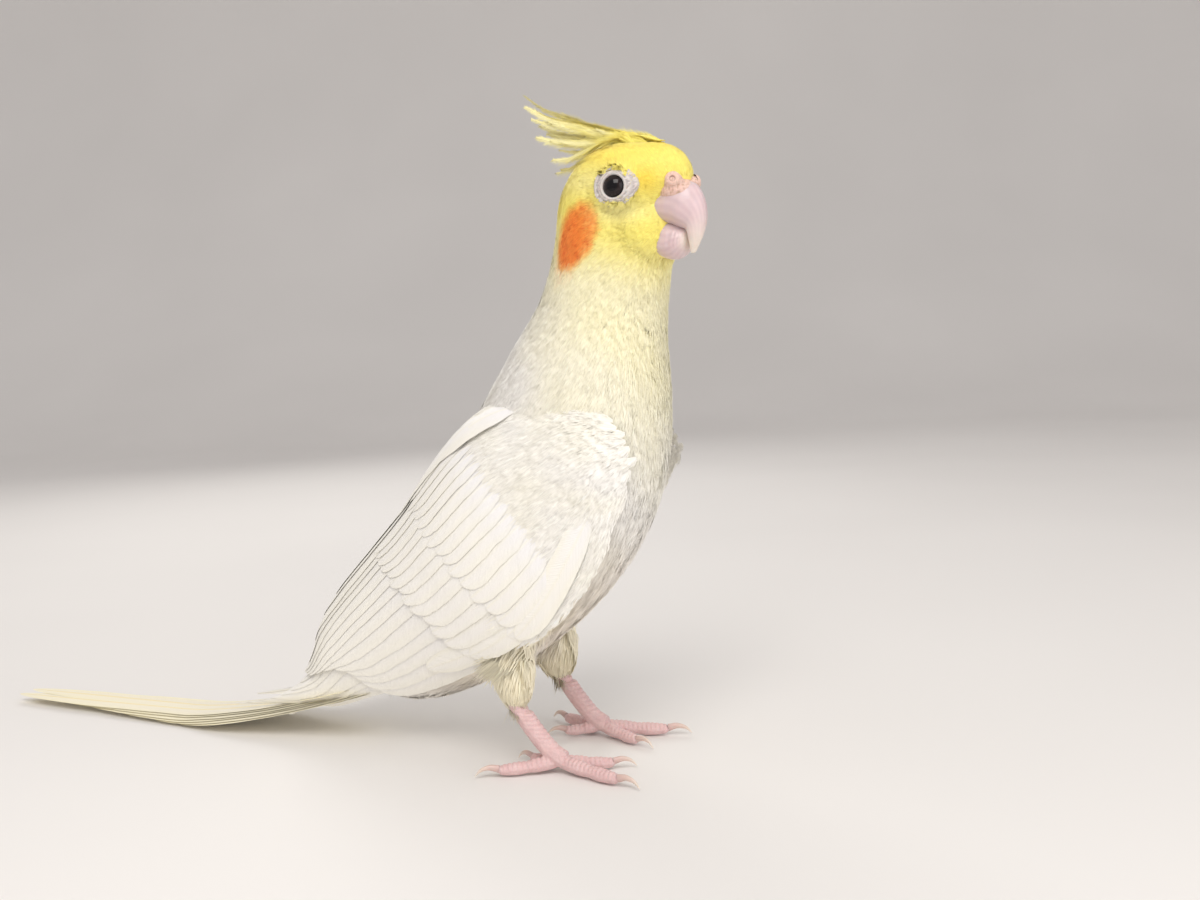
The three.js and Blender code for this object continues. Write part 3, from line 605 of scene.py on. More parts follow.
def coat_spots(roots, normals, lie, length, seed):
    """Where each feather's root, middle and tip touch the skin, with the skin's normal there."""
    draw = np.random.default_rng(seed)
    side = unit(np.cross(normals, lie))
    lie = unit(lie + side * draw.normal(0, 0.09, len(roots))[:, None])
    length = (length * draw.uniform(0.82, 1.15, len(roots)))[:, None]
    middle, middle_normals = nearest_on_skin(roots + lie * length * 0.55)
    straight = roots + lie * length
    tip, tip_normals = nearest_on_skin(straight)
    gap = np.linalg.norm(straight - tip, axis=1, keepdims=True) / length
    free = smooth(gap, 0.25, 0.6)
    tip = mix(tip, straight, free)
    tip_normals = unit(mix(tip_normals, normals, free))
    return (roots, middle, tip), (normals, middle_normals, tip_normals)


def feather_fans(spots, normals, width, depth, barbs, bake, streak=0.045, seed=1, colour=colour_at):
    """Points, faces, colours, normals and bake places of one feather for each root."""
    draw = np.random.default_rng(seed)
    count = len(spots[0])
    lie = unit(spots[2] - spots[0])
    side = unit(np.cross(normals[0], lie))
    depth = (depth * draw.uniform(0.92, 1.06, count))[:, None, None]
    k = np.linspace(-1, 1, barbs)[None, :, None]
    reach = 1 - 0.34 * k**2 + draw.uniform(-0.24, 0.12, (count, barbs, 1))
    half = (width / 2)[:, None, None]
    barb_half = half * 1.2 / barbs
    root = spots[0][:, None] + side[:, None] * (k * half * 0.25) - normals[0][:, None] * 0.1
    sag = -0.07 * half * k**2
    centre = root + (spots[1] - spots[0])[:, None] * reach + side[:, None] * (k * half * 0.62)
    centre = centre + normals[1][:, None] * (0.8 * depth + sag)
    end = root + (spots[2] - spots[0])[:, None] * reach + side[:, None] * (k * half * 0.75)
    end = end + normals[2][:, None] * (depth + sag) + draw.normal(0, 0.045, centre.shape) * half
    across = np.broadcast_to(side[:, None], centre.shape)
    corners = [root - across * barb_half * 0.7, root + across * barb_half * 0.7,
               centre - across * barb_half, centre + across * barb_half, end]
    points = np.stack(corners, 2).reshape(-1, 3)
    leaf = np.cross(end - centre, across)
    turned_in = (leaf * normals[1][:, None]).sum(-1) < 0
    blade = np.array([[0, 3, 1], [0, 2, 3], [2, 4, 3]])
    faces = np.where(turned_in[..., None, None], blade[:, ::-1], blade)
    faces = (faces + np.arange(count * barbs).reshape(count, barbs, 1, 1) * 5).reshape(-1, 3)
    tip_colour = colour(end.reshape(-1, 3)).reshape(count, barbs, 1, 3)
    root_colour = colour(spots[0]).reshape(count, 1, 1, 3)
    shares = np.array([0.2, 0.2, 0.7, 0.7, 1.0]).reshape(1, 1, 5, 1)
    colours = root_colour * (1 - shares) + tip_colour * shares
    shade = 1 + streak * draw.normal(0, 1, (count, barbs, 1, 1)) + 0.2 * streak * draw.normal(0, 1, (count, 1, 1, 1))
    # the random tone per barb is real; the fixed darkening of the root and middle corners is painted shade where the
    # barbs lie under the feathers above
    colours = colours * np.clip(shade, 0.6, 1.2) * np.array([0.93, 0.93, 0.985, 0.985, 1.0]).reshape(1, 1, 5, 1)
    lean = unit(normals[1][:, None] + side[:, None] * (0.14 * k))
    shading = np.broadcast_to(lean[:, :, None], (count, barbs, 5, 3)).reshape(-1, 3)
    local = np.array([[0, 0], [0, 1], [0.5, 0], [0.5, 1], [1, 0.5]])[None, None] * BAKE_PATCH * 0.5
    places = bake[:, None, None] + local + (k[..., None] * 0.25 + 0.25) * BAKE_PATCH
    return {"points": points, "faces": faces, "colours": np.clip(colours.reshape(-1, 3), 0, 1),
            "normals": shading, "bake": np.clip(places.reshape(-1, 2), 0, 1)}


# %% [markdown]
# ## What plumage is made of
# Soft barbs scatter light and have hardly any gloss. The colour comes from the painted formula, with a little
# noise so that no two barbs match.

# %% Plumage materials
def plumage_material(name, roughness, grain, lightness=1.0):
    shader = Shader(name, Roughness=roughness, Specular_IOR_Level=0.25, Sheen_Weight=0.12, Sheen_Roughness=0.5)
    colour = shader.attribute("plumage")
    speckle = shader.noise(2600, 2) * grain + (lightness - grain / 2)
    shader.set("Base Color", shader.blend(1.0, colour, speckle, "MULTIPLY"))
    return shader.material


COAT = plumage_material("soft feathers", 0.62, 0.07)
SKIN_UNDER = plumage_material("down under the coat", 0.8, 0.10)
skin.data.materials.append(SKIN_UNDER)

# %% [markdown]
# Roots are drawn over the skin by area. The spacing shrinks from the belly to the face, and no feather grows
# on the bare rings round the eyes, where the bill comes out or at the rear end, where the tail begins.

# %% Where feathers grow
def bare(points):
    """True on the eye rings and under the cere and bill."""
    out = np.zeros(len(points), bool)
    for side in (-1, 1):
        away = points - EYE_CENTRES[side]
        local = head_way(away, -1.0)
        flat = np.sqrt((local[:, 0] / (3.8 + 0.9 * (local[:, 0] > 0))) ** 2 + (local[:, 2] / 3.4) ** 2)
        out |= (flat < 1) & (away @ EYE_AXES[side] > -1)
    local = from_head(points)
    mouth = (local[:, 0] > 11) & (local[:, 2] < 0.5) & (local[:, 2] > -15.5) & (np.abs(local[:, 1]) < 4.4)
    nose = (local[:, 0] > 14) & (local[:, 2] < 2.2) & (local[:, 2] >= 0.5) & (np.abs(local[:, 1]) < 4.0)
    return out | mouth | nose


def spacing_at(points):
    """Distance between feather roots, in millimetres."""
    local = from_head(points)
    body = mix(1.35, 1.05, smooth(points[:, 2], 70, 110))
    face = mix(0.75, 0.5, smooth(local[:, 0], -4, 12))
    return mix(body, face, smooth(points[:, 2], 118, 136))


def length_at(points):
    local = from_head(points)
    body = mix(9.5, 7.0, smooth(points[:, 2], 50, 105))
    body = mix(body, 5.0, smooth(points[:, 2], 104, 130))
    face = mix(4.6, 2.5, smooth(local[:, 0], -3, 14))
    for centre in EYE_CENTRES.values():
        face = np.minimum(face, mix(2.2, 5.0, smooth(np.linalg.norm(points - centre, axis=1), 4.5, 9)))
    out = mix(body, face, smooth(points[:, 2], 124, 137))
    shank = (1 - smooth(points[:, 2], 22, 34)) * smooth(points[:, 0], -33, -28) * smooth(np.abs(points[:, 1]), 5, 8)
    out = out * mix(1, 1.3, (1 - smooth(points[:, 2], 24, 44)) * smooth(points[:, 0], -62, -50))
    return mix(out, 6.0, shank)


corner = skin_points[skin_triangles]
areas = np.linalg.norm(np.cross(corner[:, 1] - corner[:, 0], corner[:, 2] - corner[:, 0]), axis=1) / 2
wanted = areas / spacing_at(corner.mean(1)) ** 2
total = int(wanted.sum())
picked = rng.choice(len(areas), total, p=wanted / wanted.sum())
weights = rng.dirichlet([1, 1, 1], total)
all_roots = (corner[picked] * weights[:, :, None]).sum(1)
all_normals = unit((skin_normals[skin_triangles][picked] * weights[:, :, None]).sum(1))
REAR_END = {"x": -58, "z": 18}
rear_end = (all_roots[:, 0] < REAR_END["x"]) & (all_roots[:, 2] < REAR_END["z"])
keep = ~bare(all_roots) & ~rear_end
all_roots, all_normals = all_roots[keep], all_normals[keep]
print("feather roots:", len(all_roots))


# %% [markdown]
# The coat is grown region by region, small and dense on the face, longer down the body. Head and body are cut into
# pieces by the angle round the bird, so that none grows too large.

# %% Grow the coat
def grow(name, chosen, barbs, spread, slot, seed):
    roots, normals = all_roots[chosen], all_normals[chosen]
    length = length_at(roots)
    spots, outward = coat_spots(roots, normals, lie_at(roots, normals), length, seed)
    part = feather_fans(spots, outward, length * spread, coat_depth(roots), barbs, unwrap(roots), seed=seed)
    return feather_piece(name, [part], COAT, slot)


height = all_roots[:, 2]
middle_x = np.interp(height, [15, 60, 120], [-60, -16, 0])
around_order = np.argsort(np.arctan2(all_roots[:, 1], all_roots[:, 0] - middle_x))
regions = [
    ("coat_head", height > 127, 9, 0.62, 2, "yellow_plumage"),
    ("coat_neck", (height > 98) & (height <= 127), 13, 0.66, 1, "cream_plumage"),
    ("coat_body", (height > 20) & (height <= 98), 13, 0.64, 4, "white_plumage"),
    ("coat_vent", height <= 20, 13, 0.60, 1, "cream_plumage"),
]
for name, inside, barbs, spread, pieces, slot in regions:
    chosen = around_order[inside[around_order]]
    for number, part in enumerate(np.array_split(chosen, pieces)):
        grow(f"{name}_{number + 1}", part, barbs, spread, slot, seed=20 + number)

# %% [markdown]
# ## Vanes
# A vane is a thin sheet with a raised shaft, built as a grid from its quill to its tip. Its barbs are too fine to
# model one by one on a long feather, so they are a bump that follows the sheet's own map: lines that leave the
# shaft at a slant. The edge is slightly uneven, as worn barbs leave it.

# %% Vane material and mesh
def vane_material(name):
    shader = Shader(name, Roughness=0.5, Specular_IOR_Level=0.3, Sheen_Weight=0.1)
    place = shader.node("ShaderNodeUVMap", {"uv_map": "barbs"}, {})
    across = shader.node("ShaderNodeSeparateXYZ", {}, {0: place}, 0)
    along = shader.node("ShaderNodeSeparateXYZ", {}, {0: place}, 1)
    off_shaft = across - 0.5
    slanted = along * 100 - off_shaft.sum("ABSOLUTE", off_shaft, 0.0) * 9
    spread = shader.node("ShaderNodeCombineXYZ", {}, {0: slanted * 3.1, 1: across * 0.7})
    lines = shader.node("ShaderNodeTexNoise", {}, {"Vector": spread, "Scale": 1.0, "Detail": 3.0})
    shader.bump(lines, 0.00022, 0.55)
    colour = shader.attribute("plumage")
    streaks = lines * 0.08 + 0.96
    shader.set("Base Color", shader.blend(1.0, colour, streaks, "MULTIPLY"))
    return shader.material


VANE = vane_material("vane")
ACROSS = np.array([-1, -0.82, -0.5, -0.2, -0.05, 0, 0.05, 0.2, 0.5, 0.82, 1.0])


def feather_width(t, tip=0.3):
    """Half the width of a feather at t, 1 at its widest: narrow at the quill, even, then a rounded tip."""
    root = mix(0.45, 1, smooth(t, 0, 0.3))
    end = np.where(t < 1 - tip, 1, np.sqrt(np.maximum(0, 1 - ((t - 1 + tip) / tip) ** 2)))
    return root * np.maximum(end, 0.02)


def vane(place, tint, cell, length, rows=30, seed=0, shaft=0.09, wear=0.035, stem=(0.97, 0.955, 0.90)):
    """One feather as a grid. place(t, across, lift) gives points, tint(t, across) a linear colour."""
    draw = np.random.default_rng(seed)
    t = np.concatenate([np.linspace(0, 0.8, rows - 12), 1 - 0.2 * np.cos(np.linspace(0, math.pi / 2, 13)[1:]) ** 1.6])
    t = t[:, None]
    across = np.broadcast_to(ACROSS[None], (len(t), len(ACROSS))).copy()
    wave = np.cumsum(draw.normal(0, wear, (len(t), 2)), 0)
    wave -= np.linspace(0, 1, len(t))[:, None] * wave[-1]
    across[:, 0] *= 1 + wave[:, 0] * 0.6
    across[:, -1] *= 1 + wave[:, 1] * 0.6
    near = 1 - smooth(np.abs(ACROSS), 0.02, 0.09)
    raised = shaft * near[None] * (1 - 0.7 * t)
    points = place(t, across, raised)
    colours = tint(np.broadcast_to(t, across.shape), across)
    quill = near[None, :, None] * 0.7
    colours = colours * (1 - quill) + quill * seen(*stem)
    rows_count, columns = across.shape
    first = (np.arange(rows_count - 1)[:, None] * columns + np.arange(columns - 1)[None]).reshape(-1, 1)
    faces = first + np.array([[0, 1, columns + 1, columns]])
    barbs = np.stack([across * 0.5 + 0.5, np.broadcast_to(t * length * 0.01, across.shape)], -1)
    inner = np.stack([np.broadcast_to(t, across.shape), across * 0.45 + 0.5], -1)
    bake = cell[0] + inner * (cell[1] - cell[0])
    return {"points": points.reshape(-1, 3), "faces": faces, "colours": np.clip(colours.reshape(-1, 3), 0, 1),
            "barbs": barbs.reshape(-1, 2), "bake": bake.reshape(-1, 2)}


def cells(count):
    """Corners of count long boxes that share the square from 0 to 1."""
    columns = 3
    rows = -(-count // columns)
    size = np.array([1 / columns, 1 / rows])
    low = [np.array([i % columns, i // columns]) * size for i in range(count)]
    return [(corner + size * 0.04, corner + size * 0.96) for corner in low]


# %% [markdown]
# ## The wings
# A folded wing is read as a chart: s runs from the wrist to the tip, share from the middle of the back round the
# side to the lower edge. Sections at a few places give its height and depth, with smooth curves between them.
# The left wing uses the same chart mirrored, but it is a little thinner in front: its lowest vanes and coverts near
# the wrist are left off and its shell is narrower below. LEFT_TRIM and LOW_REACH hold these differences.

# %% The chart of a folded wing
WRIST = np.array([8.0, 0.0, 84.0])
WING_TIP = np.array([-120.0, 0.0, 7.5])
WING_AHEAD = unit(WING_TIP - WRIST)
WING_UP = np.array([WING_AHEAD[2], 0.0, -WING_AHEAD[0]])
WING_LENGTH = float(np.linalg.norm(WING_TIP - WRIST))
SECTION_TOP, SECTION_LOW = math.radians(88), math.radians(36)
# s, height of the upper edge, of the widest place and of the lower edge, y at the widest place and at the top
WING_SECTIONS = np.array([
    [-8, 6, -3, -12, 17.5, 14], [2, 19, -3, -15, 23.2, 13], [14, 24, -4, -22, 25.2, 12.5],
    [30, 26, -5, -28, 26.4, 9.5], [46, 22.5, -7, -30, 25.8, 6], [62, 17.6, -8, -28, 22.6, 2.6],
    [78, 13.8, -8, -25, 18.4, 1.6], [93, 10.2, -8, -22.5, 14.6, 1.2], [106, 5.4, -8, -19.5, 11.8, 1.2],
    [118, -3, -9, -16, 9.6, 1.6], [132, -4, -6.5, -9.5, 8.2, 3.5], [151, 1.5, 0, -1.5, 6.6, 5],
], float)


def curve_at(xs, ys, at):
    """A cubic through the listed values."""
    slopes = np.gradient(ys, xs)
    slopes[1:-1] = (ys[2:] - ys[:-2]) / (xs[2:] - xs[:-2])
    i = np.clip(np.searchsorted(xs, at, side="right") - 1, 0, len(xs) - 2)
    h = xs[i + 1] - xs[i]
    t = np.clip((at - xs[i]) / h, 0, 1)
    return (ys[i] * (2 * t**3 - 3 * t**2 + 1) + slopes[i] * h * (t**3 - 2 * t**2 + t)
            + ys[i + 1] * (3 * t**2 - 2 * t**3) + slopes[i + 1] * h * (t**3 - t**2))


def wing_skin(s, share):
    s, share = np.broadcast_arrays(np.asarray(s, float), np.asarray(share, float))
    top, wide, low, y, y_top = (curve_at(WING_SECTIONS[:, 0], WING_SECTIONS[:, i], s) for i in range(1, 6))
    angle = SECTION_TOP - share * (SECTION_TOP + SECTION_LOW)
    reach = np.where(angle > 0, (top - wide) / math.sin(SECTION_TOP), (wide - low) / math.sin(SECTION_LOW))
    q = wide + reach * np.sin(angle)
    depth = y_top + (y - y_top) * np.cos(angle)
    points = WRIST + WING_AHEAD * s[..., None] + WING_UP * q[..., None]
    points[..., 1] = depth
    return points


def wing_out(s, share):
    along = wing_skin(s + 0.5, share) - wing_skin(s - 0.5, share)
    round_it = wing_skin(s, share + 0.01) - wing_skin(s, share - 0.01)
    out = unit(np.cross(along, round_it))
    wrong = (out[..., 1] < -0.3) | ((np.abs(out[..., 1]) <= 0.3) & (out[..., 2] < 0))
    return np.where(wrong[..., None], -out, out)


def wing_place(side, s, share, lift=0.0):
    s, share, lift = np.broadcast_arrays(*(np.asarray(v, float) for v in (s, share, lift)))
    points = wing_skin(s, share) + wing_out(s, share) * lift[..., None]
    points[..., 1] *= side
    return points


S_LIST = np.linspace(-8, 151, 80)
GIRTH = [np.linalg.norm(np.diff(wing_skin(s, np.linspace(0, 1, 13)), axis=0), axis=1).sum() for s in S_LIST]


# %% [markdown]
# The tiers follow the bird's own plan: primaries make the point, secondaries step up the back, tertials lie on
# top, and coverts roof the quills of each. Their lifts put every tier above the one it covers.

# %% Tiers of the wing
def wing_tint(pale, edge):
    """White, greyed towards the root as painted shade where the feathers overlap, with a lemon wash along the outer
    edge.
    """
    def tint(t, across):
        # the darker cool grey at the root is painted shade where the feathers overlap; the lemon rim is real colour
        colour = mix(seen(0.95, 0.945, 0.95), WHITE, smooth(t, 0.1, 0.55)[..., None])
        rim = smooth(np.abs(across), 0.45, 1.0) * edge + pale
        return mix(colour, LEMON, np.clip(rim, 0, 1)[..., None])
    return tint


def wing_vane(side, cell, seed, root, tip, width, lift, bow=0.0, roof=0.09, tip_share=0.28, drop=0.9,
              pale=0.02, edge=0.10):
    def place(t, across, raised):
        half = width * feather_width(t, tip_share) * 0.5
        s = mix(root[0], tip[0], t)
        girth = np.maximum(9, np.interp(s, S_LIST, GIRTH))
        share = mix(root[1], tip[1], t) + (across * half + bow * np.sin(math.pi * t)) / girth
        sunk = drop * (1 - smooth(t, 0, 0.35))
        camber = -0.05 * across**2 * half
        return wing_place(side, s, share, lift - sunk + roof * across * half + camber + raised)
    return vane(place, wing_tint(pale, edge), cell, tip[0] - root[0], seed=seed)


LEFT_TRIM = {"s": 30, "share": 0.83, "covert_share": 0.86}
LOW_REACH = {-1: 0.46, 1: 0.34}


def wing_rows():
    draw = np.random.default_rng(5)
    rows = []

    def row(count, make):
        for i in range(count):
            u = i / max(1, count - 1)
            rows.append(make(u, draw.uniform(-1, 1)))

    row(8, lambda u, r: dict(root=[60, mix(0.93, 0.5, u)], tip=[mix(WING_LENGTH, 119, u) + r, mix(0.75, 0.28, u)],
                             width=mix(8, 9, u), lift=-1.7 + 1.2 * u, bow=mix(2, 0, u), tip_share=0.34))
    row(11, lambda u, r: dict(root=[46, mix(0.92, 0.32, u)],
                              tip=[mix(99, 119, smooth(u, 0, 0.9)) + r, mix(0.95, 0.28, u)],
                              width=9.5, lift=-0.7 + 1.5 * u, bow=mix(1.5, 0, u)))
    row(4, lambda u, r: dict(root=[40, mix(0.27, 0.08, u)], tip=[mix(118, 99, u), mix(0.21, 0.05, u)],
                             width=10.5, lift=1 + 0.6 * u))
    row(13, lambda u, r: dict(root=[mix(32, 40, u), mix(0.9, 0.26, u)], tip=[mix(63, 76, u) + r, mix(0.93, 0.24, u)],
                              width=7.4, lift=0.3 + 1.1 * u))
    row(15, lambda u, r: dict(root=[mix(20, 28, u), mix(0.92, 0.2, u)], tip=[mix(45, 57, u) + r, mix(0.95, 0.2, u)],
                              width=6.4, lift=0.7 + 0.9 * u, drop=0.7))
    row(3, lambda u, r: dict(root=[mix(6, 24, u), mix(0.84, 0.9, u)], tip=[mix(44, 76, u), mix(0.97, 0.95, u)],
                             width=6.4, lift=1.0 - 0.8 * u, bow=1.0, pale=0.06))
    row(6, lambda u, r: dict(root=[mix(34, 84, u), mix(0.02, 0.04, u)], tip=[mix(70, 116, u), mix(0.03, 0.05, u)],
                             width=8, lift=1.3 - 0.9 * u, tip_share=0.4, roof=0.0))
    row(6, lambda u, r: dict(root=[mix(12, 40, u), mix(0.22, 0.08, u)], tip=[mix(42, 84, u) + r, mix(0.2, 0.07, u)],
                             width=10, lift=1.75 - 0.1 * u, tip_share=0.4))
    return rows


for word, side in SIDES:
    rows = [each for each in wing_rows()
            if side < 0 or each["root"][0] > LEFT_TRIM["s"] or each["root"][1] < LEFT_TRIM["share"]]
    boxes = cells(len(rows))
    vanes = [wing_vane(side, cell, 100 + i, **each) for i, (each, cell) in enumerate(zip(rows, boxes))]
    feather_piece(f"wing_feathers_{word}", vanes, VANE, "white_plumage", f"wing_{word}")

# %% [markdown]
# The front of the wing is fleshy, under row on row of lesser coverts. The flesh is a shallow shell on the same
# chart, and the coverts are barb fans like the body's, laid along s.

# %% Shell and lesser coverts
def wing_shell(side):
    around = np.linspace(0, 2 * math.pi, 97)[:-1][None]
    along = np.linspace(0, 1, 33)[:, None]
    reach = np.sin(along * math.pi) ** 0.85
    ahead = np.cos(around)
    s = 34 + 42 * reach * ahead * np.where(ahead < 0, 0.93, 1)
    low_edge = np.where(np.sin(around) > 0, LOW_REACH[side], 0.46)
    share = 0.56 + low_edge * reach * np.sin(around) * (1 - 0.14 * ahead)
    lift = np.where(along < 0.5, 0.1 - 1.1 * reach**4, -6 * (1 - 0.85 * reach**3)) + 0 * around
    return wing_place(side, s, share, lift)


def covert_fans(side, seed):
    draw = np.random.default_rng(seed)
    s_list, share_list = [], []
    for s in np.arange(-6.5, 40, 1.25):
        low = np.interp(s, [-6.5, 0, 10, 40], [0.42, 0.22, 0.10, 0.12])
        high = np.interp(s, [-6.5, 0, 15, 40], [0.8, 0.95, 1.0, 0.98])
        high = min(high, LEFT_TRIM["covert_share"]) if side > 0 else high
        girth = np.interp(s, S_LIST, GIRTH)
        count = int(girth * (high - low) / 1.3)
        share_list += list(np.linspace(low, high, count) + draw.uniform(-0.01, 0.01, count))
        s_list += list(s + draw.uniform(-0.7, 0.7, count))
    s, share = np.array(s_list), np.array(share_list)
    length = np.interp(s, [-7, 10, 40], [4.2, 7, 10.5]) * draw.uniform(0.85, 1.1, len(s))
    turn = draw.normal(0, 0.012, len(s))
    spots, normals = [], []
    for reach in (0, 0.55, 1):
        at_s, at_share = s + length * reach, share + turn * reach
        spots.append(wing_place(side, at_s, at_share, 0.5 * smooth(share, 0.9, 0.2)))
        out = wing_out(at_s, at_share)
        out[:, 1] *= side
        normals.append(out)
    bake = np.stack([0.02 + 0.94 * (s + 8) / 60, 0.02 + 0.94 * np.clip(share, 0, 1)], 1)
    tint = lambda points: mix(WHITE, LEMON, np.clip(0.07 + 0.12 * wobble(points, 14, 9), 0, 1)[:, None])
    return feather_fans(spots, normals, length * 0.6, np.full(len(s), 0.65), 13, bake, 0.05, seed, tint)


for word, side in SIDES:
    shell = wing_shell(side)
    # the flesh's white is dimmed to 0.92: painted shade under the coverts
    grid_piece(f"wing_flesh_{word}", shell, np.broadcast_to(WHITE * 0.92, shell.shape), SKIN_UNDER, "white_plumage")
    feather_piece(f"lesser_coverts_{word}", [covert_fans(side, 61)], COAT, "white_plumage")

# %% [markdown]
# ## The tail
# Twelve graded vanes lie folded over each other, the longest pair on top, from the rump down to the floor. Six short
# coverts above and six below hide their roots.

# %% Tail vanes
TAIL = {"root_x": -62, "root_z": 17, "floor_x": -140, "layer": 0.36}


def tail_height(x):
    t = np.clip((TAIL["root_x"] - x) / (TAIL["root_x"] - TAIL["floor_x"]), 0, 1)
    return 0.3 + (TAIL["root_z"] - 0.3) * (1 - t) ** 1.5


def tail_tint(t, across):
    # darker and greyer towards the quill: painted shade under the coverts; the lemon edge is real colour
    colour = mix(seen(0.90, 0.88, 0.84), seen(0.965, 0.935, 0.85), smooth(t, 0.2, 0.9)[..., None])
    return mix(colour, LEMON, (0.10 + 0.2 * smooth(np.abs(across), 0.5, 1))[..., None])


def tail_vane(cell, seed, reach, sideways, width, level):
    root_x, tip_x = TAIL["root_x"] + 6, TAIL["root_x"] - reach

    def place(t, across, raised):
        x = mix(root_x, tip_x, t) + 0 * across
        half = width / 2 * feather_width(t, 0.36)
        y = sideways * mix(0.35, 1, np.sqrt(t)) + across * half
        return np.stack([x, y, tail_height(x) + level + 0.25 - 0.03 * across**2 * half + raised], -1)
    return vane(place, tail_tint, cell, reach, rows=36, seed=seed, shaft=0.17, stem=(0.95, 0.86, 0.56))


COVERT_WIDTH = 7.6
tail_vanes = []
boxes = cells(24)
draw = np.random.default_rng(77)
for pair in range(6):
    for side in (-1, 1):
        u = pair / 5
        reach = mix(149.5, 76, u**0.85) * draw.uniform(0.985, 1)
        tail_vanes.append(tail_vane(boxes[len(tail_vanes)], 200 + pair, reach,
                                    side * mix(2.4, 9.5, u), mix(9.2, 8.6, u),
                                    TAIL["layer"] * (5 - pair + (0.4 if side > 0 else 0))))
for i in range(6):
    inner = 1 - abs(2 * i / 5 - 1)
    for first, seed, short, level in ((12, 300, 33, 6.3 + 0.3 * i), (18, 320, 25, -(1 + 0.3 * i))):
        tail_vanes.append(tail_vane(boxes[first + i], seed + i, mix(short, short + 11, inner), mix(-6.5, 6.5, i / 5),
                                    COVERT_WIDTH, TAIL["layer"] * level))
feather_piece("tail_feathers", tail_vanes, VANE, "white_plumage", "tail")

# %% [markdown]
# ## The crest
# Crest feathers are long and loose: a fine shaft with separate barbs that lean forwards along it. They lie flat
# on the crown and curl up at the end.

# %% Crest plumes
def plume(path, out, half_width, barbs, lean, colour, bake_cell, seed, shaft=0.2):
    """A loose feather along path with barbs on both sides of its shaft."""
    draw = np.random.default_rng(seed)
    t_path = np.linspace(0, 1, len(path))

    def on_path(t, values=path):
        return np.stack([np.interp(t, t_path, values[:, i]) for i in range(3)], -1)

    root_t = np.repeat(np.linspace(0.02, 0.985, barbs), 2) + draw.uniform(-0.004, 0.004, barbs * 2)
    sign = np.tile([-1.0, 1.0], barbs)
    size = half_width(np.clip(root_t, 0, 1)) * draw.uniform(0.8, 1.12, barbs * 2)
    ahead = unit(on_path(np.clip(root_t + 0.02, 0, 1)) - on_path(np.clip(root_t - 0.02, 0, 1)))
    outward = on_path(np.clip(root_t, 0, 1), out)
    side = unit(np.cross(outward, ahead)) * sign[:, None]
    base = on_path(np.clip(root_t, 0, 1))
    total = np.linalg.norm(np.diff(path, axis=0), axis=1).sum()
    thick = (total / barbs * draw.uniform(0.4, 0.8, barbs * 2))[:, None]
    bend = (side * 0.62 + ahead * lean * 0.55) * size[:, None]
    middle = base + bend - outward * (0.10 * size[:, None])
    tip = base + side * size[:, None] + ahead * (lean * size)[:, None] - outward * (0.26 * size[:, None])
    tip += draw.normal(0, 0.22, tip.shape)
    wide = ahead * thick
    points = np.stack([base - wide, base + wide, middle - wide, middle + wide, tip], 1)
    blades = np.array([[0, 1, 3], [0, 3, 2], [2, 3, 4]])
    faces = np.where((sign > 0)[:, None, None], blades[None], blades[None, :, ::-1])
    faces = (faces + np.arange(len(base))[:, None, None] * 5).reshape(-1, 3)
    tone = np.clip(colour(root_t) * (1 + 0.05 * draw.normal(size=(len(base), 1))), 0, 1)
    # the random tone is real; the fixed darkening of each barb's base at the shaft is painted shade
    colours = np.repeat(tone[:, None], 5, 1) * np.array([0.93, 0.93, 0.98, 0.98, 1.0])[None, :, None]
    shading = unit(outward * 0.9 + side * 0.35)
    shading = np.repeat(shading[:, None], 5, 1)
    local = np.stack([np.clip(root_t, 0, 1), 0.5 + 0.45 * sign], -1)
    bake = bake_cell[0] + np.repeat(local[:, None], 5, 1) * (bake_cell[1] - bake_cell[0])
    bake[:, 4] += 0.002
    stem = unit(np.cross(out, np.gradient(path, axis=0)))
    stem_half = (shaft * (1 - 0.85 * t_path))[:, None]
    ribs = np.stack([path - stem * stem_half, path + out * stem_half * 0.9, path + stem * stem_half], 1)
    ribs_faces = grid_faces(3, len(path), wrap=False)
    rib_triangles = np.concatenate([ribs_faces[:, [0, 2, 1]], ribs_faces[:, [0, 3, 2]]])
    rib_colour = np.repeat(np.clip(colour(t_path) * 1.04, 0, 1)[:, None], 3, 1)
    rib_shading = np.stack([-stem + out, out, stem + out], 1)
    rib_local = np.stack([np.repeat(t_path[:, None], 3, 1), np.tile([0.47, 0.5, 0.53], (len(path), 1))], -1)
    rib_bake = bake_cell[0] + rib_local * (bake_cell[1] - bake_cell[0])
    return {"points": np.concatenate([points.reshape(-1, 3), ribs.reshape(-1, 3)]),
            "faces": np.concatenate([faces, rib_triangles + len(base) * 5]),
            "colours": np.concatenate([colours.reshape(-1, 3), rib_colour.reshape(-1, 3)]),
            "normals": np.concatenate([shading.reshape(-1, 3), rib_shading.reshape(-1, 3)]),
            "bake": np.clip(np.concatenate([bake.reshape(-1, 2), rib_bake.reshape(-1, 2)]), 0, 1)}


def smooth_path(knots, count=40):
    """A Catmull-Rom curve through the knots."""
    knots = np.asarray(knots, float)
    padded = np.vstack([2 * knots[0] - knots[1], knots, 2 * knots[-1] - knots[-2]])
    at = np.linspace(0, len(knots) - 1 - 1e-9, count)
    i = at.astype(int)
    t = (at - i)[:, None]
    p0, p1, p2, p3 = padded[i], padded[i + 1], padded[i + 2], padded[i + 3]
    return 0.5 * (2 * p1 + (p2 - p0) * t + (2 * p0 - 5 * p1 + 4 * p2 - p3) * t**2 + (3 * p1 - p0 - 3 * p2 + p3) * t**3)


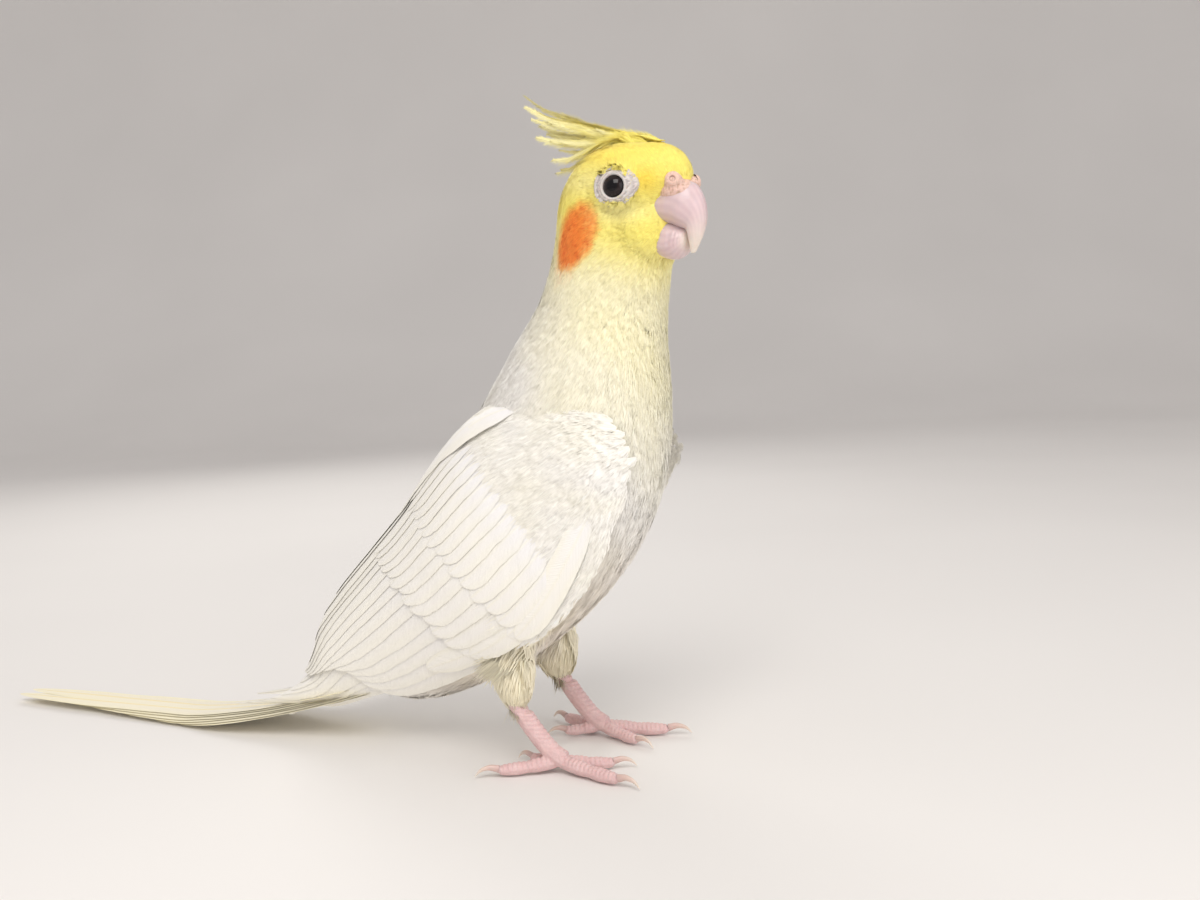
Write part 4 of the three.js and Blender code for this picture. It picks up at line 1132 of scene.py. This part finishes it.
# root, tip, rise and half width of the main plumes, from the head's centre
CREST = [
    ([9, 0.5, 12.4], [-35, 0.5, 31], 6.5, 1.9), ([10, -1.4, 12.2], [-33, -1.2, 27.5], 5.5, 2.1),
    ([8, 2, 12.2], [-31, 2, 22.5], 4.5, 2.1), ([7, -2.6, 12], [-28, -2.8, 18.5], 3.2, 2.2),
    ([6, 3.4, 11.8], [-25.5, 3.6, 15.5], 2.2, 2.2), ([5, -4, 11.4], [-21, -4.4, 11.6], 1.2, 2.1),
    ([3, 0.4, 12], [-24, 0.2, 9], 0.4, 2.2),
]
CROWN = 13.9


def crest_knots(root, tip, rise):
    (rx, ry, rz), (tx, ty, tz) = root, tip
    low = max(CROWN - 1.2, mix(rz, tz, 0.55) - rise * 0.25)
    return [[rx, ry, rz], [mix(rx, tx, 0.25), ry, CROWN], [mix(rx, tx, 0.55), mix(ry, ty, 0.6), low],
            [mix(rx, tx, 0.8), ty, mix(rz, tz, 0.8) - rise * 0.3], [tx, ty, tz]]


def crest_colour(t):
    return mix(YELLOW, LEMON, smooth(t, 0.05, 0.8)[:, None])


crest_parts = []
draw = np.random.default_rng(41)
plumes = []
for root, tip, rise, half in CREST:
    plumes.append((root, tip, rise, half))
    for share in (0.9, 0.78, 0.68, 0.58, 0.48, 0.38):
        nudge = draw.normal(0, 0.5, 3)
        shorter = np.array(root) + (np.array(tip) - root) * share * draw.uniform(0.9, 1.05)
        shorter[1] = tip[1] + draw.normal(0, 0.6)
        shorter[2] = mix(root[2], tip[2], share * 0.9) - rise * 0.15
        plumes.append((np.array(root) + [1.2, 0, 0] + nudge * [1, 1, 0.1], shorter, rise * share * 0.6, 1.7))
boxes = cells(len(plumes))
right_way = head_way([0, 1, 0])[0]
for number, (root, tip, rise, half) in enumerate(plumes):
    local = smooth_path(crest_knots(root, tip, rise), 44)
    path = on_head(local)
    along = np.gradient(path, axis=0)
    out = unit(np.cross(along, right_way))
    out *= np.where(out[:, 2:] < 0, -1, 1)
    roll = draw.uniform(0.25, 1.35) * (-1 if local[0, 1] < 0.45 else 1)
    out = unit(out * math.cos(roll) + right_way * math.sin(roll))
    width = lambda t, half=half: half * feather_width(t, 0.85) * (1 - 0.45 * t) * 1.15
    crest_parts.append(plume(path, out, width, 170, 3.6, crest_colour, boxes[number], 500 + number, shaft=0.12))
feather_piece("crest_feathers", crest_parts, COAT, "yellow_plumage", "crest")

# %% [markdown]
# ## Eyes
# The ball is a sphere turned to look out and a little forwards, its pole at the pupil, so that iris and pupil are
# rings of its own corners. The bare ring round it is one grid: a lid edge that holds the ball, folds outside it,
# and an outer rim let into the feathers.

# %% Eyeballs
def eye_material():
    shader = Shader("eye", Roughness=0.04, Specular_IOR_Level=0.22, Coat_Weight=0.12, Coat_Roughness=0.02)
    shader.set("Base Color", shader.attribute("plumage"))
    return shader.material


EYE_GLOSS = eye_material()
for word, side in SIDES:
    bpy.ops.object.select_all(action="DESELECT")
    way = Vector(EYE_AXES[side]).to_track_quat("Z", "Y")
    ball = sphere(EYE_CENTRES[side], 64, 48, way.to_euler(), radius=EYE["radius"] * MM)
    ball.name = ball.data.name = f"eyeball_{word}"
    apply_transform()
    bpy.ops.object.shade_smooth()
    away = vertices_of(ball) - EYE_CENTRES[side]
    off_axis = np.linalg.norm(away - (away @ EYE_AXES[side])[:, None] * EYE_AXES[side], axis=1)
    iris = (smooth(off_axis, 1.35, 1.5) * (1 - smooth(off_axis, 2.25, 2.5)))[:, None]
    paint(ball.data, mix(np.array([0.004, 0.003, 0.004]), np.array([0.016, 0.009, 0.009]), iris))
    ball.data.materials.append(EYE_GLOSS)
    settle(ball, "eye", f"eye_{word}")

# %% Bare rings round the eyes
def bare_skin_material(name, tint, strength, scale):
    shader = Shader(name, Roughness=0.55, Subsurface_Weight=0.12, Subsurface_Scale=0.002, Specular_IOR_Level=0.4)
    shader.surface.inputs["Subsurface Radius"].default_value = (1.0, 0.4, 0.3)
    fine = shader.noise(scale, 4)
    wide = shader.noise(scale * 0.22, 2)
    dark = np.array([0.86, 0.74, 0.76])
    base = shader.attribute("plumage") if tint is None else shader.blend(wide, tint, tint * dark)
    shader.set("Base Color", shader.blend(1.0, base, fine * 0.3 + 0.85, "MULTIPLY"))
    shader.bump(fine + wide, 0.00025, strength)
    return shader.material


RING_SKIN = bare_skin_material("bare eye skin", None, 0.35, 2600)


def eye_ring(side):
    around = np.linspace(0, 2 * math.pi, 129)[:-1][None]
    j = np.linspace(0, 1, 30)[:, None]
    axis = EYE_AXES[side]
    level = unit(np.cross([0, 0, 1.0], axis))
    rise = unit(np.cross(axis, level))
    radius = 2.5 + 2.2 * j + 0 * around
    height = np.interp(radius, [2.5, 2.75, 3.05, 3.5, 4.2, 5.0, 5.75], [1.75, 2.2, 2.4, 2.2, 1.7, 1.0, 0.2])
    flat_place = np.stack([np.cos(around) * radius, np.sin(around) * radius, 0 * radius], -1).reshape(-1, 3)
    lumps = (wobble(flat_place, 1.1, 19) + wobble(flat_place, 0.6, 23)).reshape(radius.shape)
    folds = 0.6 * np.sin(radius * (2 * math.pi / 0.7) + 2.2 * lumps) + 0.9 * lumps
    height = height + folds * 0.06 * smooth(radius, 2.75, 3.3)
    stretch = smooth(radius, 2.8, 4.6)
    forwards = 0.5 + 0.5 * np.cos(around) * (1 if level @ turned([[NECK_PIVOT_X + 1, 0, 0]])[0] > 0 else -1)
    wide, tall = 1 + (0.06 + 0.30 * forwards) * stretch, 1 - 0.02 * stretch
    flat = (np.cos(around) * radius * wide)[..., None] * level + (np.sin(around) * radius * tall)[..., None] * rise
    points = EYE_CENTRES[side] + flat + height[..., None] * axis
    flat_points = points.reshape(-1, 3)
    skin_at, normals = nearest_on_skin(flat_points)
    share = smooth(radius, 3.7, 4.9).reshape(-1, 1)
    points = mix(flat_points, skin_at + normals * (0.55 + 0.08 * folds.reshape(-1, 1)), share)
    # the grey is painted shade: darker in the troughs of the folds and in the crease at the lid's edge against the
    # ball
    pale = seen(0.87, 0.84, 0.82)
    grey = seen(0.62, 0.58, 0.58)
    amount = np.clip(0.5 - 0.5 * folds, 0, 1) * smooth(radius, 2.9, 3.4)
    edge = 1 - smooth(radius, 2.5, 2.95)
    colours = mix(pale, grey, np.clip(0.75 * amount + 0.75 * edge, 0, 1)[..., None])
    return points.reshape(colours.shape), colours


for word, side in SIDES:
    grid_piece(f"eye_ring_{word}", *eye_ring(side), RING_SKIN, "bare_skin")

# %% [markdown]
# ## Bill and cere
# The bill is two horns between a ridge line and an edge line, as in the solids but far finer, with faint growth
# lines. The cere is three soft mounds melted into one by a remesh, with a raised disc for each nostril.

# %% Horns
UPPER_BILL = np.array([[8.0, 0.5, 7.0, -6.0, 4.8], [14.0, 1.9, 11.4, -7.9, 5.4], [19.6, 1.3, 14.2, -8.6, 5.2],
                       [22.2, -2.6, 16.3, -9.5, 4.5], [22.7, -7.2, 18.1, -10.2, 3.4], [21.7, -11.4, 18.4, -12.6, 2.1],
                       [19.6, -15.4, 18.6, -15.6, 0.7]])
LOWER_BILL = np.array([[7.5, -6, 8, -14.0, 4.7], [12, -6.4, 11.4, -16.2, 4.9], [15.4, -7.6, 14.4, -16.6, 4.4],
                       [17.9, -9.2, 17, -15, 3.2], [18.5, -10.6, 18.0, -12.8, 1.4]])


def through(values, at):
    """The smooth curve through equally spaced values that the solids use."""
    n = len(values)
    p = np.clip(at, 0, 1) * (n - 1)
    i = np.minimum(p.astype(int), n - 1)
    t = (p - i)[:, None]
    a, b = values[np.maximum(i - 1, 0)], values[i]
    c, d = values[np.minimum(i + 1, n - 1)], values[np.minimum(i + 2, n - 1)]
    v0, v1 = (c - a) / 2, (d - b) / 2
    return (2 * b - 2 * c + v0 + v1) * t**3 + (3 * c - 3 * b - 2 * v0 - v1) * t**2 + v0 * t + b


def horn(stations, rows=96, columns=96):
    along = np.linspace(0, 1, rows)
    rx, rz, ex, ez, side = through(stations, along).T
    ridge, edge = np.stack([rx, 0 * rx, rz], 1), np.stack([ex, 0 * ex, ez], 1)
    centre, up = (ridge + edge) / 2, ridge - edge
    half = np.linalg.norm(up, axis=1)
    up = up / half[:, None]
    a = np.linspace(0, 2 * math.pi, columns + 1)[:-1][None]
    ends = ((along > 0) & (along < 1)).astype(float)[:, None]
    growth = 1 + 0.008 * np.sin(along * 60 + 3 * np.sin(along * 9))[:, None] * np.cos(a * 2)
    reach = half[:, None] / 2 * np.cos(a) * ends
    wide = side[:, None] * np.sin(a) * (1 - 0.2 * np.cos(a)) * ends * growth
    points = centre[:, None] + up[:, None] * reach[..., None]
    points[..., 1] = wide
    return points, along, a


def horn_piece(name, stations, pale_end, nodes):
    points, along, a = horn(stations)
    rows_count, columns = points.shape[:2]
    shade = smooth(along, pale_end, 1.0)[:, None, None]
    streak = 0.5 + 0.5 * np.sin(a * 17 + 4 * np.sin(along * 5)[:, None])
    base = mix(seen(0.80, 0.70, 0.72), seen(0.88, 0.79, 0.79), (0.35 * streak + 0.3)[..., None])
    colours = mix(base, seen(0.93, 0.88, 0.83), shade)
    obj = make_piece(name, on_head(points.reshape(-1, 3)), grid_faces(columns, rows_count), colours.reshape(-1, 3))
    edit(obj, lambda: bpy.ops.mesh.remove_doubles(threshold=0.005 * MM),
         lambda: bpy.ops.mesh.normals_make_consistent(inside=False))
    obj.data.materials.append(HORN)
    return settle(obj, "bill_horn", *nodes)


def horn_material():
    shader = Shader("horn", Roughness=0.33, Subsurface_Weight=0.3, Subsurface_Scale=0.003, Coat_Weight=0.12)
    shader.surface.inputs["Subsurface Radius"].default_value = (1.0, 0.6, 0.5)
    colour = shader.attribute("plumage")
    fine = shader.noise(900, 5)
    wide = shader.noise(240, 3)
    shader.set("Base Color", shader.blend(1.0, colour, wide * 0.3 + 0.85, "MULTIPLY"))
    shader.set("Roughness", fine * 0.25 + 0.22)
    shader.bump(fine, 0.00016, 0.35)
    return shader.material


HORN = horn_material()
horn_piece("bill_top", UPPER_BILL, 0.55, ["bill_upper"])
horn_piece("bill_jaw", LOWER_BILL, 0.6, ["bill_lower"])

# %% Cere
CERE_SKIN = bare_skin_material("cere skin", None, 0.6, 2300)
CERE_MOUNDS = [([16.2, -3.3, 1.2], [2.6, 2.4, 2.5]), ([16.2, 3.3, 1.2], [2.6, 2.4, 2.5]),
               ([15.4, 0, -0.7], [5.1, 5.5, 3.3])]
bpy.ops.object.select_all(action="DESELECT")
mounds = [sphere(on_head(centre)[0], 48, 32, (0, 0, HEAD_TURN), radii=radii) for centre, radii in CERE_MOUNDS]
for mound in mounds:
    mound.select_set(True)
bpy.ops.object.join()
cere = bpy.context.view_layer.objects.active
cere.name = cere.data.name = "cere_skin"
apply_transform()
modify(cere, "REMESH", mode="VOXEL", voxel_size=0.2 * MM, use_smooth_shade=True)
modify(cere, "SMOOTH", factor=0.6, iterations=10)
points, normals = vertices_of(cere), normals_of(cere)
grain = wobble(points, 1.0, 51) + 0.7 * wobble(points, 0.55, 52)
move_vertices(cere, points + normals * (0.09 * grain)[:, None])
# the cere is painted darker where its grain dents the surface: painted shade in the hollows
paint(cere.data, mix(seen(0.90, 0.76, 0.71), seen(0.78, 0.64, 0.56), smooth(grain, 0.2, -0.7)[:, None]))
cere.data.materials.append(CERE_SKIN)
settle(cere, "bare_skin", "cere")

# %% Nostrils
def nostril(side):
    """A raised disc with a round hole, set on the cere."""
    around = np.linspace(0, 2 * math.pi, 65)[:-1][None]
    radius = np.concatenate([np.linspace(0.05, 0.5, 6), np.linspace(0.58, 2.0, 18)])[:, None] + 0 * around
    height = np.interp(radius, [0, 0.42, 0.6, 0.9, 1.25, 1.6, 1.8, 2.0],
                       [-1.0, -0.8, 0.05, 0.30, 0.26, 0.02, -0.3, -0.9])
    height = height + 0.05 * np.sin(around * 9 + radius * 4) * smooth(radius, 0.8, 1.4)
    way = unit(head_way([0.50, side * 0.86, 0.10])[0])
    level = unit(np.cross([0, 0, 1.0], way))
    rise = np.cross(way, level)
    centre = on_head([16.3, side * 3.4, 1.7])[0] + way * 2.2
    points = centre + (np.cos(around) * radius)[..., None] * level + (np.sin(around) * radius)[..., None] * rise
    points = points + height[..., None] * way
    # the hole is painted dark brown: painted shade inside the nostril
    colours = mix(seen(0.36, 0.24, 0.20), seen(0.90, 0.76, 0.70), smooth(radius, 0.45, 0.8)[..., None])
    return points, colours


for word, side in SIDES:
    grid_piece(f"nostril_{word}", *nostril(side), RING_SKIN, "bare_skin")

# %% [markdown]
# ## Feet and claws
# A foot is remeshed from its solid and an ellipsoid that rounds off the top of the leg. The tops of the toes carry
# a row of broad scutes and the soles fine grains;
# both are pushed out of the mesh by the place along each toe.

# %% Feet
FOOT = {"x": -9.0, "y": 14.5}
TOES = {"outer_front": (-16, 20, 2.1), "inner_front": (24, 15, 1.9), "outer_back": (-152, 17, 2.0),
        "inner_back": (160, 11, 1.8)}


ANKLE_RADII, ANKLE_LEAN = (2.15, 2.3, 4.6), math.radians(-35)


def toe_way(side, heading):
    angle = math.radians(heading) * -side
    return np.array([math.cos(angle), math.sin(angle), 0.0])


def scutes(points, normals, side):
    """How far the scales stand out at each point of a foot."""
    best = np.full(len(points), 1e9)
    along = np.zeros(len(points))
    heel = np.array([FOOT["x"], side * FOOT["y"], 2.2])
    for heading, length, radius in TOES.values():
        way = toe_way(side, heading)
        reach = np.clip((points - heel) @ way, 0, length)
        gap = np.linalg.norm(points - heel - reach[:, None] * way, axis=1)
        along = np.where(gap < best, reach, along)
        best = np.minimum(best, gap)
    on_leg = smooth(points[:, 2], 4.2, 6.0)
    along = mix(along, points[:, 2], on_leg)
    step = mix(1.25, 1.1, on_leg)
    phase = along / step
    band = np.abs(np.sin(math.pi * phase)) ** 0.4
    top = np.maximum(smooth(normals[:, 2], 0.05, 0.5), on_leg * smooth(normals[:, 0], 0.0, 0.5))
    grain = wobble(points, 0.9, 15)
    return (band - 0.8) * 0.42 * top + grain * 0.06 * (1 - top)


FOOT_SKIN = bare_skin_material("foot skin", seen(0.90, 0.79, 0.78), 0.35, 2200)
for word, side in SIDES:
    foot = joined_copy(f"foot_skin_{word}", [f"foot_{word}"])
    sphere([-20.4, side * FOOT["y"], 16.6], 32, 20, (0, ANKLE_LEAN, 0), radii=ANKLE_RADII)
    apply_transform()
    foot.select_set(True)
    bpy.context.view_layer.objects.active = foot
    bpy.ops.object.join()
    modify(foot, "REMESH", mode="VOXEL", voxel_size=0.24 * MM, use_smooth_shade=True)
    modify(foot, "SMOOTH", factor=0.6, iterations=6)
    points, normals = vertices_of(foot), normals_of(foot)
    move_vertices(foot, points + normals * scutes(points, normals, side)[:, None])
    foot.data.materials.append(FOOT_SKIN)
    settle(foot, "bare_skin", f"foot_{word}")
    print(foot.name, len(foot.data.vertices), "corners")

# %% Claws
def claw_points(side, heading, length, radius, rows=28, columns=24):
    way = toe_way(side, heading)
    start = np.array([FOOT["x"], side * FOOT["y"], 0.0]) + way * length
    size = radius / 2.1
    knots = [start + way * r + [0, 0, z] for r, z in ((-1.2, 2.0), (1.2, 2.55), (3.6 * size, 2.0), (5.3 * size, 0.5))]
    path = smooth_path(knots, rows)
    ahead = unit(np.gradient(path, axis=0))
    level = unit(np.cross([0, 0, 1.0], way))
    up = unit(np.cross(ahead, level))
    t = np.linspace(0, 1, rows)[:, None]
    r = mix(1.02, 0.12, t**1.15) * size
    a = np.linspace(0, 2 * math.pi, columns + 1)[:-1][None]
    points = path[:, None] + level * (r * 0.85 * np.cos(a))[..., None] + up[:, None] * (r * np.sin(a))[..., None]
    points[..., 2] = np.maximum(points[..., 2], 0.0)
    return points, t


def claw_piece(word, side):
    parts = []
    for heading, length, radius in TOES.values():
        points, t = claw_points(side, heading, length, radius)
        tones = np.repeat(mix(seen(0.80, 0.68, 0.66), seen(0.90, 0.84, 0.78), t), points.shape[1], 0)
        parts.append({"points": points.reshape(-1, 3), "colours": tones,
                      "faces": grid_faces(points.shape[1], points.shape[0])})
    whole = stack_parts(parts)
    obj = make_piece(f"claws_{word}", whole["points"], whole["faces"], whole["colours"])
    obj.data.materials.append(HORN)
    settle(obj, "claw_horn", *[f"claw_{word}_{toe}" for toe in TOES])


for word, side in SIDES:
    claw_piece(word, side)

# %% [markdown]
# ## Floor, light and camera
# The bird stands on a plain pale floor that bends up into a wall. A large soft light hangs high on the camera's
# side, a weaker one fills the shade, a third lights the rim from behind, and an even sky keeps the white open.
# The camera stands where the picture was
# taken from: 30 cm away, 22 degrees round from the bird's right side, a little above it.

# %% Floor and world
YAW, PITCH, ROLL, DISTANCE = math.radians(22), math.radians(5), math.radians(2.5), 0.300


def backdrop():
    """A sheet that runs from in front of the camera over the floor and bends up into a wall."""
    bend, far, wall = 0.8, 1.1, 2.6
    arc = np.linspace(0, math.pi / 2, 24)
    y = np.concatenate([[-2.5, 0.3], far + bend * np.sin(arc), [far + bend]])
    z = np.concatenate([[0, 0], bend * (1 - np.cos(arc)), [wall]]) - 0.0002
    x = np.linspace(-4, 4, 9)
    grid_x, grid_y = np.meshgrid(x, y)
    grid_z = np.broadcast_to(z[:, None], grid_x.shape)
    turned_x = grid_x * math.cos(YAW) - grid_y * math.sin(YAW)
    turned_y = grid_x * math.sin(YAW) + grid_y * math.cos(YAW)
    points = np.stack([turned_x, turned_y, grid_z], -1).reshape(-1, 3)
    return make_piece("backdrop", to_bird(points), grid_faces(len(x), len(y), wrap=False))


floor = backdrop()
ground = Shader("ground", Roughness=0.8)
GROUND_TONES = [(0.3, seen(0.91, 0.90, 0.89)), (0.7, seen(0.93, 0.92, 0.91))]
ground.set("Base Color", ground.ramp(ground.noise(3, 2), GROUND_TONES))
floor.data.materials.append(ground.material)

world = bpy.data.worlds.new("sky")
world.use_nodes = True
sky = world.node_tree.nodes["Background"].inputs
sky["Color"].default_value = (*seen(0.92, 0.905, 0.90), 1)
sky["Strength"].default_value = 0.68
scene = bpy.context.scene
scene.world = world
scene.view_settings.view_transform = "Standard"


def area_light(name, place, target, size, power, colour):
    light = bpy.data.lights.new(name, "AREA")
    light.shape = "SQUARE"
    light.size, light.energy, light.color = size, power, colour
    obj = bpy.data.objects.new(name, light)
    obj.location = place
    obj.rotation_euler = (Vector(target) - Vector(place)).to_track_quat("-Z", "Y").to_euler()
    bpy.context.collection.objects.link(obj)


AIM = to_model([0, 0, 90])
area_light("window", AIM + [0.16, -0.5, 0.62], AIM, 0.45, 3.7, (1.0, 0.97, 0.93))
area_light("fill", AIM + [0.75, -0.25, 0.15], AIM, 0.7, 1.9, (0.97, 0.98, 1.0))
area_light("rim", AIM + [-0.5, 0.55, 0.45], AIM, 0.4, 1.6, (1.0, 0.98, 0.94))

# %% Camera
back = Vector((math.sin(YAW) * math.cos(PITCH), -math.cos(YAW) * math.cos(PITCH), math.sin(PITCH)))
level = Vector((math.cos(YAW), math.sin(YAW), 0))
upright = back.cross(level)
right = level * math.cos(ROLL) - upright * math.sin(ROLL)
up = upright * math.cos(ROLL) + level * math.sin(ROLL)
camera = bpy.data.objects.new("camera", bpy.data.cameras.new("camera"))
camera.data.lens, camera.data.sensor_width = 34.5, 36
target = Vector(to_model([0, 0, 82]))
place = Matrix((right, up, back)).transposed().to_4x4()
place.translation = target + back * DISTANCE
camera.matrix_world = place
bpy.context.collection.objects.link(camera)
scene.camera = camera
